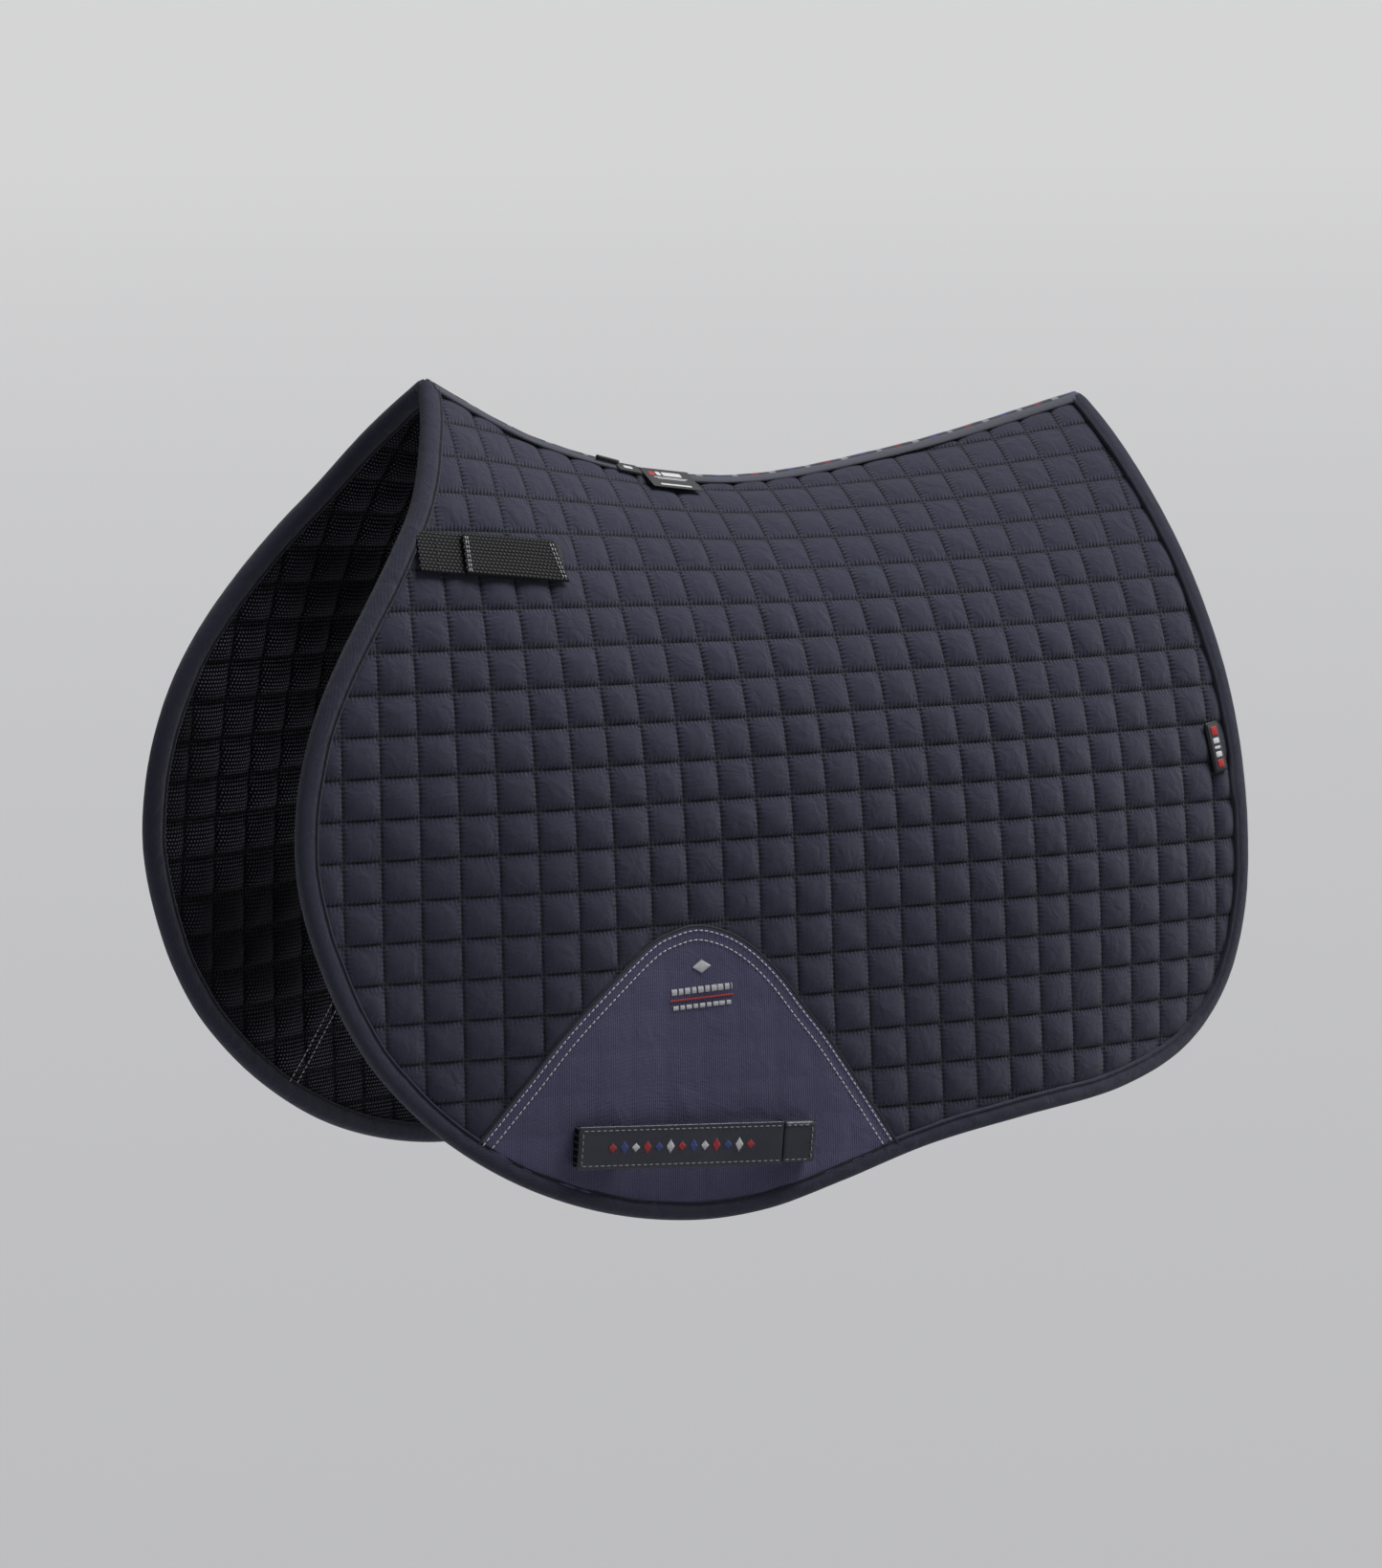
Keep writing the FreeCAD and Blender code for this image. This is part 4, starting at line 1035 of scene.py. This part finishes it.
LEATHER = strap_leather()
for side in ("near", "off"):
    for kind, body, material, slot in (
            ("girth_strap", "girth_flap", LEATHER, "strap_leather"),
            ("girth_strap_backing", "girth_flap", WEBBING, "webbing"),
            ("girth_hook_tape", "girth_flap", HOOK_PILE, "hook_tape"),
            ("girth_keeper_tab", "half", WEBBING, "webbing"),
            ("girth_strap_anchor", "half", LEATHER, "strap_leather")):
        lie = lie_of(f"{side}_{kind}")
        piece = band(f"{side}_{kind}_band", lie, material, wave=0.00025 if "strap" in kind else 0.0001)
        carried(piece, f"{side}_{body}", f"{side}_{kind}")
        lx, ly = lie[4][0], lie[4][1]
        i = STITCH_INSET
        if kind == "girth_strap_anchor":
            strap_rows(f"{side}_anchor_stitches", lie,
                       [(-lx + 0.001, -ly + i, lx - i, -ly + i), (-lx + 0.001, ly - i, lx - i, ly - i),
                        (lx - i, -ly + i, lx - i, ly - i)],
                       0.0030, 0.0012, 0.0008, GREY_THREAD, f"{side}_{body}")
        if kind == "girth_strap":
            strap_rows(f"{side}_girth_strap_stitches", lie,
                       [(-lx + i, -ly + i, lx - 0.001, -ly + i), (-lx + i, ly - i, lx - 0.001, ly - i),
                        (-lx + i, -ly + i, -lx + i, ly - i)],
                       0.0030, 0.0012, 0.0008, GREY_THREAD, f"{side}_{body}")
            for thread, name, first in ((RED_THREAD, "red", 0), (BLUE_THREAD, "blue", 1),
                                        (WHITE_THREAD, "white", 2)):
                lines = []
                for k in range(first, 13, 3):
                    tall = 0.0046 if k % 2 else 0.0032
                    for d in np.arange(-0.0022, 0.0023, 0.00055):
                        middle = lie[0] + (0.008 * (k - 6) + d) * lie[1] + (lie[4][2] + 0.00015) * lie[3]
                        up = lie[2] * tall * (1 - abs(d) / 0.0028)
                        lines.append((np.array([middle - up, middle + up]), np.array([lie[3], lie[3]])))
                mark = thread_rows(f"{side}_strap_diamonds_{name}", lines, None, 0, 0.0007, thread)
                carried(mark, f"{side}_girth_flap")

# ---------------------------------------------------------------- badge and labels
# A small moulded rubber badge by the rear binding, and three woven labels caught in the spine seam:
# a rolled loop, a size tab and a folded care label. Their print is plain bars.


def rounded_corners(half, radius, inset):
    """Corner points of a rectangle with round corners, drawn in by inset."""
    turn = np.linspace(0, np.pi / 2, 6)
    hx, hy, r = half[0] - inset, half[1] - inset, max(radius - inset, 0.0001)
    parts = [(hx - r, hy - r, 0), (-hx + r, hy - r, 1), (-hx + r, -hy + r, 2), (hx - r, -hy + r, 3)]
    return np.concatenate([np.stack([x + r * np.cos(turn + k * np.pi / 2),
                                     y + r * np.sin(turn + k * np.pi / 2)], -1) for x, y, k in parts])


def moulded(name, lie, material, radius, bevel, low=None, high=None, half=None, at=(0, 0)):
    """A thin plate with round corners and a soft upper edge."""
    centre, ahead, upward, outward, size = lie
    half = size if half is None else half
    low = -size[2] if low is None else low
    high = size[2] if high is None else high
    rings = []
    for inset, height in ((bevel * 0.5, low), (0, low + bevel * 0.5), (0, high - bevel),
                          (bevel * 0.3, high - bevel * 0.3), (bevel, high)):
        flat = rounded_corners(half, radius, inset)
        rings.append(centre + (flat[:, :1] + at[0]) * ahead + (flat[:, 1:] + at[1]) * upward
                     + height * outward)
    return capped_tube(name, np.stack(rings), material)


RUBBER = plain_finish("dark moulded rubber", (0.010, 0.010, 0.013), 0.45, 900, 0.0001)
RUBBER_FACE = plain_finish("grey moulded rubber", (0.045, 0.045, 0.055), 0.5, 900, 0.0001, 0.0, 0.12)
RED_RUBBER = plain_finish("red rubber", (0.42, 0.03, 0.03), 0.45, 900, 0.0001, 0.0, 0.12)
WHITE_RUBBER = plain_finish("white rubber", (0.66, 0.66, 0.68), 0.45, 900, 0.0001, 0.0, 0.12)
LABEL = plain_finish("woven label", (0.018, 0.018, 0.021), 0.7, 1500, 0.0002, 0.2)

BADGE_SHIFT = np.array([0.0065, 0, 0])
for part, name, slot, finish, radius, bevel in (
        ("rear_badge", "badge_frame", "badge_rubber", RUBBER, 0.0022, 0.0006),
        ("rear_badge_face", "badge_inlay", "badge_face", RUBBER_FACE, 0.0014, 0.0002)):
    lie = lie_of(part)
    lie = (lie[0] + BADGE_SHIFT, *lie[1:])
    carried(moulded(name, lie, finish, radius, bevel), "near_half", part)
tall = lie[4][1] > lie[4][0]
for k, (at, deep, finish) in enumerate((
        (0.0105, 0.0030, RED_RUBBER), (0.0040, 0.0018, WHITE_RUBBER), (-0.0005, 0.0009, WHITE_RUBBER),
        (-0.0050, 0.0018, WHITE_RUBBER), (-0.0110, 0.0026, RED_RUBBER))):
    half = np.array([0.0026, deep, 0]) if tall else np.array([deep, 0.0026, 0])
    mark = moulded(f"badge_mark_{k}", lie, finish, 0.0008, 0.0002, low=0.0001,
                   high=lie[4][2] + 0.0004, half=half, at=(0, at) if tall else (at, 0))
    carried(mark, "near_half")

LABEL_BARS = [(-0.0125, 0.005, 0.0022, 0.0022, RED_RUBBER), (-0.0075, 0.005, 0.0018, 0.0022, WHITE_RUBBER),
              (0.003, 0.005, 0.0075, 0.0022, WHITE_RUBBER), (0.0, 0.0005, 0.0130, 0.0004, WHITE_RUBBER),
              (0.0, -0.0010, 0.0110, 0.0003, WHITE_RUBBER), (0.0, -0.0078, 0.0120, 0.0009, WHITE_RUBBER)]
for name, body, bars in (("fold_label", "label", LABEL_BARS),
                         ("size_tab", "near_half", [(0.0, 0.0, 0.0035, 0.0014, WHITE_RUBBER)])):
    lie = lie_of(name)
    lie = (lie[0] - 0.008 * lie[1], *lie[1:])
    tab = moulded(f"{name}_cloth", lie, LABEL, 0.0008, 0.0003)
    carried(tab, body, name)
    for k, (x, y, hx, hy, finish) in enumerate(bars):
        bar = moulded(f"{name}_bar_{k}", lie, finish, min(hx, hy) * 0.6, 0.0001, low=lie[4][2] - 0.0002,
                      high=lie[4][2] + 0.00012, half=np.array([hx, hy, 0]), at=(x, y))
        carried(bar, body)

v = np.array([p.co[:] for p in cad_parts["roll_tab"].data.vertices])
middle = v.mean(0)
ways = np.linalg.svd(v - middle, full_matrices=False)[2]
axis = ways[0] if ways[0][0] > 0 else -ways[0]
side_way = np.cross(axis, [0, 0, 1.0])
side_way /= np.linalg.norm(side_way)
over = np.cross(side_way, axis)
long = np.ptp(v @ axis)
CORE_RADIUS, ROLL_RADIUS, TAB_CLOTH = 0.0006, 0.00155, 0.00034
turns = np.linspace(0, 3.6 * np.pi, 40)
radii = CORE_RADIUS + (ROLL_RADIUS - CORE_RADIUS) * turns / turns[-1]
outer = np.stack([radii * np.cos(turns), radii * np.sin(turns)], -1)
inner = np.stack([(radii - TAB_CLOTH) * np.cos(turns), (radii - TAB_CLOTH) * np.sin(turns)], -1)
section = np.concatenate([outer, inner[::-1]])
ends = np.linspace(-long / 2, long / 2, 7)
rings = np.stack([middle + e * axis + section[:, :1] * side_way + section[:, 1:] * over for e in ends])
n, m = rings.shape[:2]
here, ahead = np.arange(m // 2 - 1), np.arange(1, m // 2)
cap = np.stack([here, ahead, m - 1 - ahead, m - 1 - here], -1)
rolled = sewn_mesh("rolled_loop", rings.reshape(-1, 3),
                   np.concatenate([tube_faces(n, m), cap[:, ::-1], cap + (n - 1) * m]), LABEL)
carried(rolled, "near_half", "roll_tab")

# ---------------------------------------------------------------- studio
# A wide pale floor far below the pad, one broad soft key from above on the rear side, and fill.
sweep = bpy.data.meshes.new("studio_floor")
span, low = 90.0, -2.6
sweep.from_pydata([(-span, -span, low), (span, -span, low), (span, span, low), (-span, span, low)],
                  [], [(0, 1, 2, 3)])
floor = bpy.data.objects.new("studio_floor", sweep)
bpy.context.scene.collection.objects.link(floor)
paper, tree, shader = cloth_material("pale paper")
# Painted light falloff: the floor's colour is darker near the camera and paler far off.
away = parts(tree, node(tree, "ShaderNodeNewGeometry").outputs["Position"])
far = sums(tree, "ADD", sums(tree, "MULTIPLY", away[0], 0.58), sums(tree, "MULTIPLY", away[1], 0.815))
painted_falloff = node(tree, "ShaderNodeMapRange", {0: far, 1: 5.0, 2: 30.0}).outputs[0]
surface(tree, shader, ramp(tree, painted_falloff, [(0.0, (0.455, 0.455, 0.467)), (1.0, (0.60, 0.60, 0.604))]),
        [], [], 0.95, 0.0)
floor.data.materials.append(paper)


def soft_sun(name, toward, strength, angle):
    """A broad soft light from one way."""
    lamp = bpy.data.lights.new(name, "SUN")
    lamp.energy, lamp.angle = strength, math.radians(angle)
    made = bpy.data.objects.new(name, lamp)
    made.rotation_mode = "QUATERNION"
    made.rotation_quaternion = Vector(toward).to_track_quat("Z", "Y")
    bpy.context.scene.collection.objects.link(made)


soft_sun("overhead_softbox", (0.45, -0.25, 1.0), 3.3, 40)
soft_sun("rear_softbox", (0.9, -0.10, 0.5), 0.45, 50)
world = bpy.data.worlds.new("studio air")
world.use_nodes = True
world.node_tree.nodes["Background"].inputs[0].default_value = (0.86, 0.87, 0.9, 1)
world.node_tree.nodes["Background"].inputs[1].default_value = 0.12
bpy.context.scene.world = world
bpy.context.scene.view_settings.view_transform = "Standard"

camera = bpy.data.cameras.new("studio_camera")
camera.sensor_fit, camera.sensor_height, camera.lens = "VERTICAL", 36.0, 159.2
camera.clip_end = 300.0
stand = bpy.data.objects.new("studio_camera", camera)
bpy.context.scene.collection.objects.link(stand)
turn_a, turn_e, roll = math.radians(35.42), math.radians(10.42), math.radians(-0.596)
behind = Vector((-math.sin(turn_a) * math.cos(turn_e), -math.cos(turn_a) * math.cos(turn_e),
                 math.sin(turn_e)))
right = Vector((math.cos(turn_a), -math.sin(turn_a), 0))
up = behind.cross(right)
right, up = right * math.cos(roll) + up * math.sin(roll), up * math.cos(roll) - right * math.sin(roll)
place = Vector((-2.5285, -3.5762, 0.609)) + up * 0.0045
stand.matrix_world = Matrix.Translation(place) @ Matrix((right, up, behind)).transposed().to_4x4()
bpy.context.scene.camera = stand
